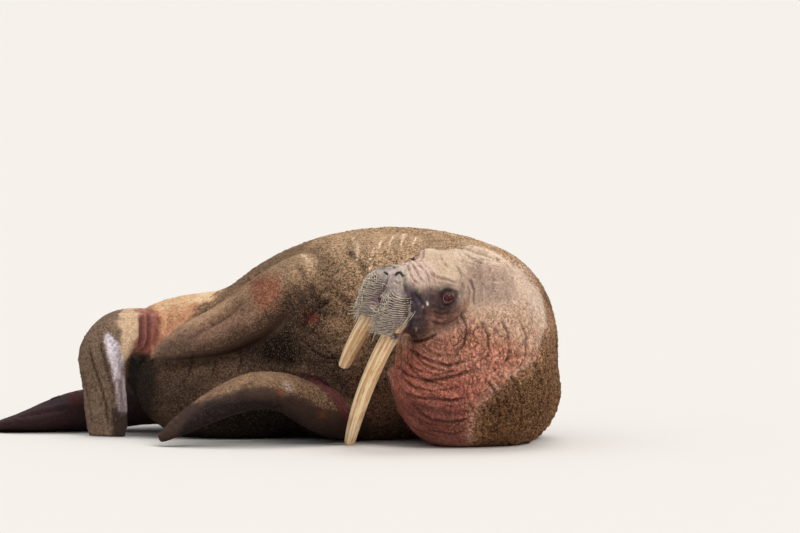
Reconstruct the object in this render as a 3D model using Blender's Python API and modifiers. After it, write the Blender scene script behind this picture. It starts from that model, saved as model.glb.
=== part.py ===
"""A life-size bull walrus that lies on its left side with its head curled round over its chest.

Metres, +Z up. X runs along the body, from the hind flippers at -X to the shoulders at +X, and the belly
faces -Y. The animal is built on a plan of its own, and then moved so that the origin lies on the floor
under the middle of its box.
"""

import math

import bmesh
import bpy
from mathutils import Matrix, Vector

# The floor flattens what lies on it, and neighbouring pieces keep a hair's breadth between them.
FLOOR = 0.0
GAP = 0.0004

# The fineness of the modelled flesh, and the triangles that it is thinned to.
TRUNK_VOXEL = 0.014
BODY_VOXEL = 0.009
LIMB_VOXEL = 0.008
TRUNK_ROUNDS = 110
LIMB_ROUNDS = 4
HEAD_ROUNDS = 7
BODY_TRIANGLES = 3300
LIMB_TRIANGLES = 460
TAIL_TRIANGLES = 120

# The head: the middle of its two eyes, the way it looks, the way its crown points and its right side.
HEAD_ORIGIN = Vector((0.595, -0.510, 0.637))
FORWARD = Vector((-0.7215, -0.6915, 0.0193)).normalized()
CROWN = Vector((0.4058, -0.4003, 0.8197)).normalized()
RIGHT = FORWARD.cross(CROWN).normalized()

EYE_RADIUS = 0.0200
EYE_SIDE = 0.1060

# The tusks, from the gum down: the left one reaches the floor and the right one is worn short.
TUSK_ROOT = 0.060
TUSK_RADIUS = 0.0375
TUSK_SIDE = 0.063
TUSK_SPLAY = 0.012
LEFT_TUSK = 0.530
RIGHT_TUSK = 0.268

UP = Vector((0.0, 0.0, 1.0))

# Base colour and roughness of each finish.
FINISHES = {
    "head_skin": ((0.30, 0.23, 0.19), 0.60),
    "neck_skin": ((0.36, 0.19, 0.15), 0.62),
    "sandy_hide": ((0.25, 0.19, 0.12), 0.90),
    "flipper_skin": ((0.22, 0.16, 0.11), 0.80),
    "muzzle_skin": ((0.28, 0.25, 0.23), 0.65),
    "ivory": ((0.78, 0.66, 0.42), 0.35),
    "eye": ((0.10, 0.02, 0.015), 0.08),
}


def clear_scene():
    """Removes whatever the file opened with."""
    for obj in list(bpy.data.objects):
        bpy.data.objects.remove(obj)


def collection(name):
    """A new collection in the scene."""
    made = bpy.data.collections.new(name)
    bpy.context.scene.collection.children.link(made)
    return made


def dress(obj, finish):
    """Gives a piece a Principled material of its own."""
    colour, rough = FINISHES[finish]
    made = bpy.data.materials.new(f"{obj.name}_{finish}")
    made.use_nodes = True
    shader = made.node_tree.nodes["Principled BSDF"]
    shader.inputs["Base Color"].default_value = (*colour, 1.0)
    shader.inputs["Roughness"].default_value = rough
    obj.data.materials.clear()
    obj.data.materials.append(made)


def head_point(forward, up, right):
    """A point given in the head's own directions."""
    return HEAD_ORIGIN + FORWARD * forward + CROWN * up + RIGHT * right


def object_from(builder, name):
    """An object in the workshop from a bmesh."""
    mesh = bpy.data.meshes.new(name)
    bmesh.ops.recalc_face_normals(builder, faces=builder.faces)
    builder.to_mesh(mesh)
    builder.free()
    made = bpy.data.objects.new(name, mesh)
    WORKSHOP.objects.link(made)
    return made


def baked(obj):
    """The object as its modifiers shape it, in place of the object."""
    bpy.context.view_layer.update()
    graph = bpy.context.evaluated_depsgraph_get()
    shape = bpy.data.meshes.new_from_object(obj.evaluated_get(graph))
    obj.modifiers.clear()
    obj.data = shape
    return obj


def copy_of(obj, name):
    """A copy with a mesh of its own."""
    made = bpy.data.objects.new(name, obj.data.copy())
    WORKSHOP.objects.link(made)
    return made


def placed(builder, centre, radii, axes):
    """Stretches a unit shape along three directions and moves it."""
    x, y, z = axes
    turn = Matrix((x * radii[0], y * radii[1], z * radii[2])).transposed().to_4x4()
    bmesh.ops.transform(builder, matrix=Matrix.Translation(centre) @ turn, verts=builder.verts)


def ellipsoid(name, centre, radii, axes=(Vector((1, 0, 0)), Vector((0, 1, 0)), UP), segments=32):
    """A closed ellipsoid whose radii lie along the three given directions."""
    builder = bmesh.new()
    bmesh.ops.create_uvsphere(builder, u_segments=segments, v_segments=segments // 2, radius=1.0)
    placed(builder, Vector(centre), radii, axes)
    return object_from(builder, name)


def head_ellipsoid(name, centre, radii):
    """An ellipsoid placed and sized along the head's forward, up and right directions."""
    return ellipsoid(name, head_point(*centre), radii, (FORWARD, CROWN, RIGHT))


def cutter_box(name, centre, half, axes):
    """A closed box that only cuts, kept as a wire."""
    builder = bmesh.new()
    bmesh.ops.create_cube(builder, size=2.0)
    placed(builder, centre, half, axes)
    made = object_from(builder, name)
    WORKSHOP.objects.unlink(made)
    CUTTERS.objects.link(made)
    made.hide_render = True
    made.display_type = "WIRE"
    return made


def half_space(name, point, normal, reach=2.0):
    """A big box that fills the side of a plane that the normal points to."""
    ahead = Vector(normal).normalized()
    side = ahead.orthogonal().normalized()
    return cutter_box(name, Vector(point) + ahead * reach, (reach,) * 3, (ahead, side, ahead.cross(side)))


def spline(rows, share):
    """Catmull-Rom through rows of numbers, at a share from 0 to 1 of the way along."""
    last = len(rows) - 1
    at = min(max(share, 0.0), 1.0) * last
    i = min(int(at), last - 1)
    t = at - i
    before, start, end, after = (rows[min(max(i + k, 0), last)] for k in (-1, 0, 1, 2))
    return [
        0.5 * (2 * b + (c - a) * t + (2 * a - 5 * b + 4 * c - d) * t * t + (3 * b - a - 3 * c + d) * t ** 3)
        for a, b, c, d in zip(before, start, end, after)
    ]


def loft(name, stations, depth, last_depth=None, rings=14, sides=12):
    """A closed tube through stations of (x, y, z, half width, half depth).

    depth is the way that the half depth is measured, and it turns to last_depth on the way. It is squared
    up to the tube at each ring. Both ends are domed.
    """
    builder = bmesh.new()
    loops = []
    for ring in range(rings + 1):
        share = (1 - math.cos(math.pi * ring / rings)) / 2
        x, y, z, wide, deep = spline(stations, share)
        ahead = Vector(spline(stations, share + 0.01)[:3]) - Vector(spline(stations, share - 0.01)[:3])
        across = ahead.cross(depth.lerp(last_depth or depth, share)).normalized()
        inward = across.cross(ahead).normalized()
        dome = math.sqrt(max(0.0, 1 - max(0.0, 1 - 2 * ring / 5, 1 - 2 * (rings - ring) / 5) ** 2))
        loops.append([
            builder.verts.new(
                Vector((x, y, z))
                + across * wide * dome * math.cos(turn)
                + inward * deep * dome * math.sin(turn)
            )
            for turn in (2 * math.pi * k / sides for k in range(sides))
        ])
    for one, two in zip(loops, loops[1:]):
        for k in range(sides):
            builder.faces.new((one[k], one[(k + 1) % sides], two[(k + 1) % sides], two[k]))
    bmesh.ops.remove_doubles(builder, verts=builder.verts, dist=1e-6)
    return object_from(builder, name)


def fused(parts, name, voxel, rounds):
    """Joins overlapping closed shapes into one smooth skin, by a voxel remesh."""
    builder = bmesh.new()
    for part in parts:
        builder.from_mesh(part.data)
        bpy.data.objects.remove(part)
    joined = object_from(builder, name)
    remesh = joined.modifiers.new("skin", "REMESH")
    remesh.mode = "VOXEL"
    remesh.voxel_size = voxel
    flow = joined.modifiers.new("flow", "SMOOTH")
    flow.iterations = rounds
    return baked(joined)


def thinned(obj, triangles):
    """Fewer triangles, most of them where the form turns."""
    obj.data.calc_loop_triangles()
    thin = obj.modifiers.new("thin", "DECIMATE")
    thin.ratio = triangles / len(obj.data.loop_triangles)
    thin.use_collapse_triangulate = True
    return baked(obj)


def limb_skin(name, stations, depth, last_depth=None, triangles=LIMB_TRIANGLES):
    """A flipper or the tail: a loft made into one skin and thinned."""
    shape = loft(name, stations, depth, last_depth, rings=40, sides=28)
    return thinned(fused([shape], name, LIMB_VOXEL, LIMB_ROUNDS), triangles)


def boolean(obj, other, operation):
    """obj cut by or met with other, which stays."""
    cut = obj.modifiers.new("cut", "BOOLEAN")
    cut.operation = operation
    cut.object = other
    return baked(obj)


def swollen(obj, by):
    """A copy whose surface stands out by a small gap, to cut a neighbour with."""
    made = copy_of(obj, obj.name + "_seat")
    swell = made.modifiers.new("swell", "DISPLACE")
    swell.strength = by
    swell.mid_level = 0.0
    return baked(made)


def seat(obj, neighbour):
    """Takes a neighbour and its gap out of obj."""
    room = swollen(neighbour, GAP)
    boolean(obj, room, "DIFFERENCE")
    bpy.data.objects.remove(room)


def parted(obj, region, inner, outer):
    """Parts obj by a closed region into the piece inside it and the piece outside."""
    inside = boolean(copy_of(obj, inner), region, "INTERSECT")
    room = swollen(region, GAP)
    boolean(obj, room, "DIFFERENCE")
    bpy.data.objects.remove(room)
    obj.name = outer
    return inside, obj


def keep_largest(obj):
    """Drops the crumbs that a cut leaves beside a piece."""
    builder = bmesh.new()
    builder.from_mesh(obj.data)
    builder.verts.ensure_lookup_table()
    left = set(builder.verts)
    groups = []
    while left:
        group, edge = set(), [left.pop()]
        while edge:
            vert = edge.pop()
            group.add(vert)
            for near in (link.other_vert(vert) for link in vert.link_edges):
                if near in left:
                    left.discard(near)
                    edge.append(near)
        groups.append(group)
    groups.sort(key=len, reverse=True)
    for group in groups[1:]:
        bmesh.ops.delete(builder, geom=list(group), context="VERTS")
    bmesh.ops.dissolve_degenerate(builder, edges=builder.edges, dist=1e-6)
    builder.to_mesh(obj.data)
    builder.free()


def build_trunk():
    """Hips, belly, chest and neck: stations of (x, y, z, half height, half depth) and five soft masses."""
    trunk = loft("trunk", [
        (-0.600, 0.430, 0.205, 0.100, 0.090),
        (-0.520, 0.415, 0.232, 0.200, 0.180),
        (-0.415, 0.385, 0.250, 0.258, 0.245),
        (-0.290, 0.350, 0.255, 0.280, 0.290),
        (-0.170, 0.315, 0.258, 0.292, 0.325),
        (-0.060, 0.270, 0.280, 0.315, 0.360),
        (0.070, 0.225, 0.320, 0.368, 0.390),
        (0.230, 0.185, 0.355, 0.410, 0.405),
        (0.400, 0.150, 0.370, 0.428, 0.408),
        (0.570, 0.120, 0.370, 0.426, 0.395),
        (0.720, 0.095, 0.355, 0.404, 0.360),
        (0.850, 0.070, 0.335, 0.370, 0.305),
        (0.955, 0.050, 0.320, 0.312, 0.240),
        (1.040, 0.035, 0.312, 0.210, 0.160),
    ], Vector((0.25, 1.0, 0.0)), rings=48, sides=36)
    neck = loft("neck", [
        (0.600, 0.140, 0.340, 0.300, 0.270),
        (0.715, -0.010, 0.345, 0.380, 0.310),
        (0.768, -0.174, 0.350, 0.424, 0.287),
        (0.772, -0.293, 0.380, 0.382, 0.283),
        (0.755, -0.375, 0.455, 0.310, 0.260),
        (0.710, -0.418, 0.538, 0.240, 0.222),
        (0.650, -0.463, 0.600, 0.180, 0.175),
    ], Vector((1, 0.4, 0)), Vector((0.8, -0.1, 0.6)), rings=36, sides=36)
    masses = [
        ellipsoid("belly", (-0.150, 0.125, 0.190), (0.400, 0.300, 0.235)),
        ellipsoid("breast", (0.330, 0.030, 0.240), (0.350, 0.330, 0.275)),
        ellipsoid("throat_bag", (0.705, -0.330, 0.205), (0.255, 0.245, 0.235)),
        ellipsoid("shoulder", (0.800, -0.020, 0.190), (0.296, 0.360, 0.255)),
        ellipsoid("withers", (0.805, -0.010, 0.370), (0.280, 0.300, 0.290)),
    ]
    return fused([trunk, neck, *masses], "trunk", TRUNK_VOXEL, TRUNK_ROUNDS)


def build_body():
    """The trunk with the head on it, as one skin that lies flat on the floor."""
    head = [
        head_ellipsoid("occiput", (-0.165, -0.055, 0), (0.165, 0.150, 0.165)),
        head_ellipsoid("cranium", (-0.080, -0.025, 0), (0.180, 0.125, 0.132)),
        head_ellipsoid("bridge", (0.060, -0.010, 0), (0.160, 0.080, 0.078)),
        head_ellipsoid("nose", (0.176, 0.002, 0), (0.062, 0.052, 0.068)),
        head_ellipsoid("chin", (0.065, -0.182, 0), (0.108, 0.054, 0.067)),
        head_ellipsoid("jowl", (-0.065, -0.152, 0), (0.163, 0.098, 0.114)),
    ]
    for side in (-1, 1):
        head += [
            head_ellipsoid("pad", (0.191, -0.095, 0.053 * side), (0.061, 0.113, 0.062)),
            head_ellipsoid("cheek", (0.020, -0.085, 0.074 * side), (0.125, 0.098, 0.066)),
            head_ellipsoid("brow", (-0.028, 0.035, 0.080 * side), (0.058, 0.042, 0.040)),
        ]
    body = fused([build_trunk(), *head], "body", BODY_VOXEL, HEAD_ROUNDS)
    return boolean(thinned(body, BODY_TRIANGLES), GROUND, "DIFFERENCE")


def foreflipper_right():
    """The upper flipper, which lies back along the flank."""
    return limb_skin("foreflipper_right", [
        (0.217, 0.043, 0.600, 0.130, 0.115),
        (0.098, -0.005, 0.575, 0.140, 0.112),
        (-0.022, -0.045, 0.515, 0.145, 0.092),
        (-0.114, -0.060, 0.460, 0.145, 0.074),
        (-0.217, -0.066, 0.410, 0.132, 0.058),
        (-0.320, -0.066, 0.376, 0.106, 0.041),
        (-0.396, -0.064, 0.345, 0.074, 0.029),
        (-0.455, -0.062, 0.321, 0.033, 0.018),
    ], Vector((-0.40, -0.55, 0.75)))


def foreflipper_left():
    """The lower flipper, which comes out from under the chest and bends back to the floor."""
    return limb_skin("foreflipper_left", [
        (0.360, 0.000, 0.115, 0.130, 0.100),
        (0.275, -0.150, 0.100, 0.122, 0.098),
        (0.170, -0.265, 0.130, 0.106, 0.087),
        (0.045, -0.335, 0.198, 0.094, 0.074),
        (-0.065, -0.364, 0.208, 0.100, 0.064),
        (-0.163, -0.369, 0.178, 0.102, 0.052),
        (-0.261, -0.375, 0.130, 0.094, 0.041),
        (-0.353, -0.380, 0.076, 0.068, 0.028),
        (-0.430, -0.382, 0.024, 0.028, 0.017),
    ], Vector((-0.45, -0.40, 0.80)))


def hindflipper_right():
    """The upper hind flipper, which hangs down from the ankle with its toes on the floor."""
    return limb_skin("hindflipper_right", [
        (-0.420, 0.290, 0.340, 0.125, 0.115),
        (-0.510, 0.205, 0.385, 0.105, 0.085),
        (-0.600, 0.135, 0.382, 0.104, 0.066),
        (-0.654, 0.098, 0.312, 0.104, 0.054),
        (-0.652, 0.087, 0.225, 0.094, 0.038),
        (-0.644, 0.081, 0.130, 0.092, 0.028),
        (-0.640, 0.076, 0.054, 0.090, 0.022),
        (-0.638, 0.074, -0.030, 0.070, 0.018),
    ], Vector((-0.4, -0.8, 0.5)), Vector((-0.3, -1.0, 0.0)))


def hindflipper_left():
    """The lower hind flipper, which lies back along the floor."""
    return limb_skin("hindflipper_left", [
        (-0.413, 0.358, 0.141, 0.130, 0.119),
        (-0.543, 0.358, 0.108, 0.114, 0.092),
        (-0.662, 0.342, 0.088, 0.108, 0.087),
        (-0.782, 0.326, 0.074, 0.119, 0.078),
        (-0.901, 0.310, 0.050, 0.130, 0.056),
        (-1.000, 0.299, 0.030, 0.119, 0.036),
        (-1.065, 0.293, 0.019, 0.087, 0.023),
        (-1.100, 0.291, 0.012, 0.049, 0.014),
    ], Vector((0.0, 0.15, 1.0)))


def tail():
    """The stub of a tail between the hind flippers."""
    return limb_skin("tail", [
        (-0.500, 0.450, 0.250, 0.055, 0.050),
        (-0.585, 0.472, 0.235, 0.048, 0.038),
        (-0.640, 0.482, 0.212, 0.038, 0.026),
        (-0.680, 0.487, 0.188, 0.020, 0.013),
    ], Vector((0.0, 1.0, 0.2)), triangles=TAIL_TRIANGLES)


def tusk(name, side, length):
    """One tusk, oval, curved back under the chin and blunt at its tip."""
    stations = []
    steps = 9
    for step in range(steps + 1):
        share = step / steps
        down = share * (length + TUSK_ROOT) - TUSK_ROOT
        bow = 0.06 * down - 0.36 * down * down
        centre = head_point(0.145 + bow, -0.203 - down, side * (TUSK_SIDE + TUSK_SPLAY * share))
        thick = TUSK_RADIUS * (1.0 - 0.16 * down / LEFT_TUSK - 0.30 * share ** 4)
        stations.append((*centre, thick * 0.82, thick))
    return loft(name, stations, FORWARD)


def eyeball(name, side):
    """One eye, set into the side of the head."""
    return ellipsoid(
        name, head_point(0, 0, side * EYE_SIDE), (EYE_RADIUS,) * 3, (FORWARD, CROWN, RIGHT), segments=12
    )


def part_the_flesh(body):
    """Divides the body by thin cuts into its named parts."""
    tilt = Matrix.Rotation(math.radians(-23), 3, RIGHT)
    ahead, over = tilt @ FORWARD, tilt @ CROWN
    skull = cutter_box(
        "head_cut", HEAD_ORIGIN + ahead * 0.185 - over * 0.025, (0.300, 0.240, 0.195), (ahead, over, RIGHT)
    )
    jaw = cutter_box("jaw_cut", head_point(-0.012, -0.290, 0), (0.125, 0.150, 0.2), (FORWARD, CROWN, RIGHT))
    snout = cutter_box("muzzle_cut", head_point(0.320, 0, 0), (0.205, 0.4, 0.3), (FORWARD, CROWN, RIGHT))
    head, rest = parted(body, skull, "head", "rest")
    muzzle, head = parted(head, snout, "muzzle", "head")
    lower_jaw, head = parted(head, jaw, "lower_jaw", "head")
    neck, rest = parted(rest, half_space("neck_cut", (0.74, -0.11, 0), (0.52, -0.854, 0)), "neck", "rest")
    chest, rest = parted(rest, half_space("chest_cut", (0.16, 0.2, 0), (0.957, -0.29, 0)), "chest", "rest")
    belly, hips = parted(rest, half_space("belly_cut", (-0.30, 0.3, 0), (0.957, -0.29, 0)), "belly", "hips")
    return [head, muzzle, lower_jaw, neck, chest, belly, hips]


def centre_on_origin(pieces):
    """Moves all the pieces so that the middle of their box is over the origin."""
    corners = [vert.co for piece in pieces for vert in piece.data.vertices]
    shift = Vector([
        -(min(co[k] for co in corners) + max(co[k] for co in corners)) / 2 for k in (0, 1)
    ] + [0.0])
    for piece in pieces + list(CUTTERS.objects):
        piece.data.transform(Matrix.Translation(shift))


clear_scene()
WALRUS = collection("walrus")
CUTTERS = collection("cutters")
WORKSHOP = collection("workshop")
GROUND = half_space("floor_cut", (0, 0, FLOOR), (0, 0, -1))

body = build_body()
eyes = [eyeball("eye_right", 1), eyeball("eye_left", -1)]
tusks = [tusk("tusk_right", 1, RIGHT_TUSK), tusk("tusk_left", -1, LEFT_TUSK)]
limbs = [hindflipper_right(), hindflipper_left(), foreflipper_right(), foreflipper_left(), tail()]
for piece in limbs + tusks[1:]:
    boolean(piece, GROUND, "DIFFERENCE")
for number, limb in enumerate(limbs):
    for earlier in limbs[:number]:
        seat(limb, earlier)
for piece in limbs + tusks + eyes:
    seat(body, piece)

flesh = part_the_flesh(body)
for piece in flesh:
    keep_largest(piece)

for piece in flesh + limbs + tusks + eyes:
    WORKSHOP.objects.unlink(piece)
    WALRUS.objects.link(piece)
for piece in flesh[2:]:
    dress(piece, "sandy_hide")
dress(flesh[0], "head_skin")
dress(flesh[1], "muzzle_skin")
dress(flesh[2], "head_skin")
dress(flesh[3], "neck_skin")
for piece in limbs:
    dress(piece, "flipper_skin")
for piece in tusks:
    dress(piece, "ivory")
for piece in eyes:
    dress(piece, "eye")
centre_on_origin(flesh + limbs + tusks + eyes)
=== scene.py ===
"""Looks of a life-size bull walrus that lies on its left side with its head curled over its chest.

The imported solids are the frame. One hide covers all the flesh. The eyes, tusks, whiskers, nails, short
hair and sand crumbs are pieces of their own, placed on that hide.
"""

from __future__ import annotations

import itertools
import logging
import math
from dataclasses import dataclass, field
from enum import Enum

import bmesh
import bpy
import numpy as np
from mathutils import Matrix, Vector
from mathutils.bvhtree import BVHTree
from mathutils.geometry import barycentric_transform

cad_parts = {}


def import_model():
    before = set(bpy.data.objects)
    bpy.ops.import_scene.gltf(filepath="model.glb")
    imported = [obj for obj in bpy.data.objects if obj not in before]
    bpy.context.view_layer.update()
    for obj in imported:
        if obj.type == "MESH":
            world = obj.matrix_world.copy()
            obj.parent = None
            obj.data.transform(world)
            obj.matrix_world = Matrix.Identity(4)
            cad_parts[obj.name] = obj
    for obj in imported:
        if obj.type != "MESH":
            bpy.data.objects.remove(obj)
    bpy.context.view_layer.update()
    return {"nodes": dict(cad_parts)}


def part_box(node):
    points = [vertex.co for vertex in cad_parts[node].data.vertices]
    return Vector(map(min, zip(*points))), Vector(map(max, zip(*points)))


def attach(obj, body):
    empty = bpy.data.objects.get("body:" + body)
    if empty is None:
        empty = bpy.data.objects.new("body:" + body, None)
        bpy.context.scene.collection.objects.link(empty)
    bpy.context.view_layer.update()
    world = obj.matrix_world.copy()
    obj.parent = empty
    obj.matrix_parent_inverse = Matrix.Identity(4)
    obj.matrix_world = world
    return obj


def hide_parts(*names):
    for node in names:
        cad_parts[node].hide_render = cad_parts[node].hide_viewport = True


LOG = logging.getLogger("walrus")

# Nothing of the walrus comes nearer to the floor than this, in metres.
FLOOR_GAP = 0.0004
# How wide a tuft's or bristle's patch is on the map of the skin.
MAP_PATCH = 0.003

FLESH = (
    "head", "muzzle", "lower_jaw", "neck", "chest", "belly", "hips", "tail",
    "foreflipper_right", "foreflipper_left", "hindflipper_right", "hindflipper_left",
)
Rows = np.ndarray
Pixel = tuple[float, float]


class Side(Enum):
    """The animal's own right and left."""

    RIGHT = 1
    LEFT = -1


def tone(red: float, green: float, blue: float) -> tuple[float, float, float]:
    """Turns a display colour from 0 to 255 into scene values."""
    parts = (red / 255, green / 255, blue / 255)
    return tuple(p / 12.92 if p <= 0.04045 else ((p + 0.055) / 1.055) ** 2.4 for p in parts)


def step(low: float, high: float, value: Rows) -> Rows:
    """A soft step from 0 at low to 1 at high."""
    share = np.clip((value - low) / (high - low), 0.0, 1.0)
    return share * share * (3 - 2 * share)


def hump(value: Rows, middle: float, width: float | Rows) -> Rows:
    """A smooth hump, 1 at its middle."""
    return np.exp(-((value - middle) / width) ** 2)


def scatter(cell: Rows, seed: int) -> Rows:
    """Repeatable numbers from 0 to 1, one for each whole-number cell.

    Args:
        cell: the cells, three whole numbers each.
        seed: which numbers.

    Returns:
        One number for each cell.
    """
    x, y, z = (cell[..., k].astype(np.int64) for k in range(3))
    mixed = (x * 374761393 + y * 668265263 + z * 2147483629 + seed * 974711) & 0xFFFFFFFF
    mixed = ((mixed ^ (mixed >> 13)) * 1274126177) & 0xFFFFFFFF
    return (mixed ^ (mixed >> 16)) / 4294967295.0


def mottle(points: Rows, size: float, seed: int, layers: int = 3) -> Rows:
    """Smooth noise from about -1 to 1.

    Args:
        points: the places, one row each.
        size: how wide its largest patches are, in metres.
        seed: which noise.
        layers: how many finer layers it has.

    Returns:
        One value for each point.
    """
    total, weight, full = np.zeros(len(points)), 1.0, 0.0
    for layer in range(layers):
        at = points / size * 2 ** layer
        base = np.floor(at)
        part = at - base
        part = part * part * (3 - 2 * part)
        value = np.zeros(len(points))
        for corner in np.ndindex(2, 2, 2):
            share = np.prod(np.where(np.array(corner), part, 1 - part), axis=1)
            value += share * scatter(base + corner, seed + layer)
        total += weight * (value * 2 - 1)
        full += weight
        weight *= 0.5
    return total / full


def cells(points: Rows, size: float, seed: int) -> tuple[Rows, Rows]:
    """Scattered cells, as on cracked or scaly skin.

    Args:
        points: the places, one row each.
        size: how wide a cell is, in metres.
        seed: which pattern.

    Returns:
        The distances to the nearest and to the second nearest cell middle, in cell widths.
    """
    at = points / size
    base = np.floor(at)
    first = np.full(len(points), 9.0)
    second = first.copy()
    for offset in np.ndindex(3, 3, 3):
        cell = base + offset - 1
        middle = cell + np.stack([scatter(cell, seed + k) for k in range(3)], axis=1)
        gap = np.linalg.norm(at - middle, axis=1)
        second = np.minimum(second, np.maximum(gap, first))
        first = np.minimum(first, gap)
    return first, second


def plates(points: Rows, size: float, seed: int, reach: float, level: float) -> Rows:
    """Raised plates with sunk cracks between them, as on dry skin.

    Args:
        points: the places, one row each.
        size: how wide a plate is, in metres.
        seed: which pattern.
        reach: how far from a crack a plate stops rising, in plate widths.
        level: what is taken off, so that the mean stays about the same.

    Returns:
        How high each point stands.
    """
    first, second = cells(points, size, seed)
    return np.clip(second - first, 0, reach) - level


def furrows(place: Rows, pitch: float, sharp: float, level: float) -> Rows:
    """Rounded ridges side by side with sharp furrows between them.

    Args:
        place: how far each point is from where they start, in metres.
        pitch: how far apart they are.
        sharp: below 1 for sharper furrows.
        level: what is taken off, so that the mean stays about the same.

    Returns:
        How high each point stands.
    """
    return np.abs(np.sin(np.pi * place / pitch)) ** sharp - level


@dataclass
class Viewpoint:
    """The photo's camera, and where its pixels fall on the animal."""

    shift: Vector
    metres_per_pixel: float = 0.0038
    tilt: float = math.radians(3.5)
    distance: float = 30.0
    size: tuple[int, int] = (800, 533)
    ground: Pixel = (274.5, 438.0)
    sensor: float = 36.0

    def __post_init__(self) -> None:
        """Works out the camera's place and its directions."""
        wide, high = self.size
        self.across = Vector((1.0, 0.0, 0.0))
        self.upward = Vector((0.0, math.sin(self.tilt), math.cos(self.tilt)))
        self.away = Vector((0.0, math.cos(self.tilt), -math.sin(self.tilt)))
        target = (
            self.shift
            + self.across * (wide / 2 - self.ground[0]) * self.metres_per_pixel
            + self.upward * (self.ground[1] - high / 2) * self.metres_per_pixel
        )
        self.place = target - self.away * self.distance
        self.pixels_at_one = self.distance / self.metres_per_pixel

    def pixels(self, points: Rows) -> Rows:
        """Where points show in the photo, in its pixels.

        Args:
            points: the places, one row each.

        Returns:
            Two pixel coordinates for each point.
        """
        gap = points - np.array(self.place)
        depth = gap @ np.array(self.away)
        x = self.size[0] / 2 + self.pixels_at_one * (gap @ np.array(self.across)) / depth
        y = self.size[1] / 2 - self.pixels_at_one * (gap @ np.array(self.upward)) / depth
        return np.stack([x, y], axis=1)

    def ray(self, pixel: Pixel) -> Vector:
        """The direction in which a pixel looks.

        Args:
            pixel: a place in the photo.

        Returns:
            The direction, of length 1.
        """
        x = (pixel[0] - self.size[0] / 2) / self.pixels_at_one
        y = (self.size[1] / 2 - pixel[1]) / self.pixels_at_one
        return (self.away + self.across * x + self.upward * y).normalized()

    def camera(self) -> bpy.types.Object:
        """Makes the camera and sets it as the scene's own.

        Returns:
            The camera.
        """
        lens = bpy.data.cameras.new("camera")
        lens.sensor_width = self.sensor
        lens.lens = self.sensor * self.pixels_at_one / self.size[0]
        lens.clip_end = 500.0
        made = bpy.data.objects.new("camera", lens)
        made.matrix_world = Matrix.Translation(self.place) @ Matrix((
            (self.across.x, self.upward.x, -self.away.x, 0),
            (self.across.y, self.upward.y, -self.away.y, 0),
            (self.across.z, self.upward.z, -self.away.z, 0),
            (0, 0, 0, 1),
        ))
        bpy.context.scene.collection.objects.link(made)
        bpy.context.scene.camera = made
        return made


@dataclass
class HeadFrame:
    """The head's own directions, from the middle between its eyes."""

    forward: Vector = field(default_factory=lambda: Vector((-0.7215, -0.6915, 0.0193)).normalized())
    crown: Vector = field(default_factory=lambda: Vector((0.4058, -0.4003, 0.8197)).normalized())
    planned: Vector = field(default_factory=lambda: Vector((0.595, -0.510, 0.637)))

    def __post_init__(self) -> None:
        """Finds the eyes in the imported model."""
        self.eyes = {}
        for side, node in ((Side.RIGHT, "eye_right"), (Side.LEFT, "eye_left")):
            low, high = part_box(node)
            self.eyes[side] = (low + high) / 2
        self.origin = (self.eyes[Side.RIGHT] + self.eyes[Side.LEFT]) / 2
        self.right = self.forward.cross(self.crown).normalized()

    @property
    def shift(self) -> Vector:
        """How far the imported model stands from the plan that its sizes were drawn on."""
        return self.origin - self.planned

    def point(self, forward: float, up: float, right: float) -> Vector:
        """A point given in the head's directions."""
        return self.origin + self.forward * forward + self.crown * up + self.right * right

    def local(self, points: Rows) -> Rows:
        """Points as distances forward, up and right of the head's middle."""
        axes = np.array([self.forward, self.crown, self.right])
        return (points - np.array(self.origin)) @ axes.T

    def mirrored(self, points: Rows) -> Rows:
        """Points moved to the other side of the head."""
        across = np.array(self.right)
        return points - 2 * ((points - np.array(self.origin)) @ across)[:, None] * across

    def on_left(self, points: Rows) -> Rows:
        """Points of the head's right side moved to its left side, and the others as they are."""
        over = self.local(points)[:, 2:] > 0
        return np.where(over, self.mirrored(points), points)


def mesh_points(mesh: bpy.types.Mesh) -> Rows:
    """The places of a mesh's vertices, one row each.

    Args:
        mesh: the mesh.

    Returns:
        The places.
    """
    flat = np.empty(len(mesh.vertices) * 3)
    mesh.vertices.foreach_get("co", flat)
    return flat.reshape(-1, 3)


def mesh_normals(mesh: bpy.types.Mesh) -> Rows:
    """The outward directions at a mesh's vertices, one row each.

    Args:
        mesh: the mesh.

    Returns:
        The directions.
    """
    mesh.update()
    flat = np.empty(len(mesh.vertices) * 3)
    mesh.vertices.foreach_get("normal", flat)
    return flat.reshape(-1, 3)


def set_points(mesh: bpy.types.Mesh, points: Rows) -> None:
    """Moves a mesh's vertices to new places."""
    mesh.vertices.foreach_set("co", points.astype(np.float32).ravel())
    mesh.update()


def object_of(name: str, mesh: bpy.types.Mesh) -> bpy.types.Object:
    """An object in the scene that shows a mesh.

    Args:
        name: its name.
        mesh: what it shows.

    Returns:
        The object.
    """
    made = bpy.data.objects.new(name, mesh)
    bpy.context.scene.collection.objects.link(made)
    return made


def smooth(mesh: bpy.types.Mesh) -> None:
    """Shades all faces of a mesh smoothly."""
    mesh.polygons.foreach_set("use_smooth", np.ones(len(mesh.polygons), dtype=bool))


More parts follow.
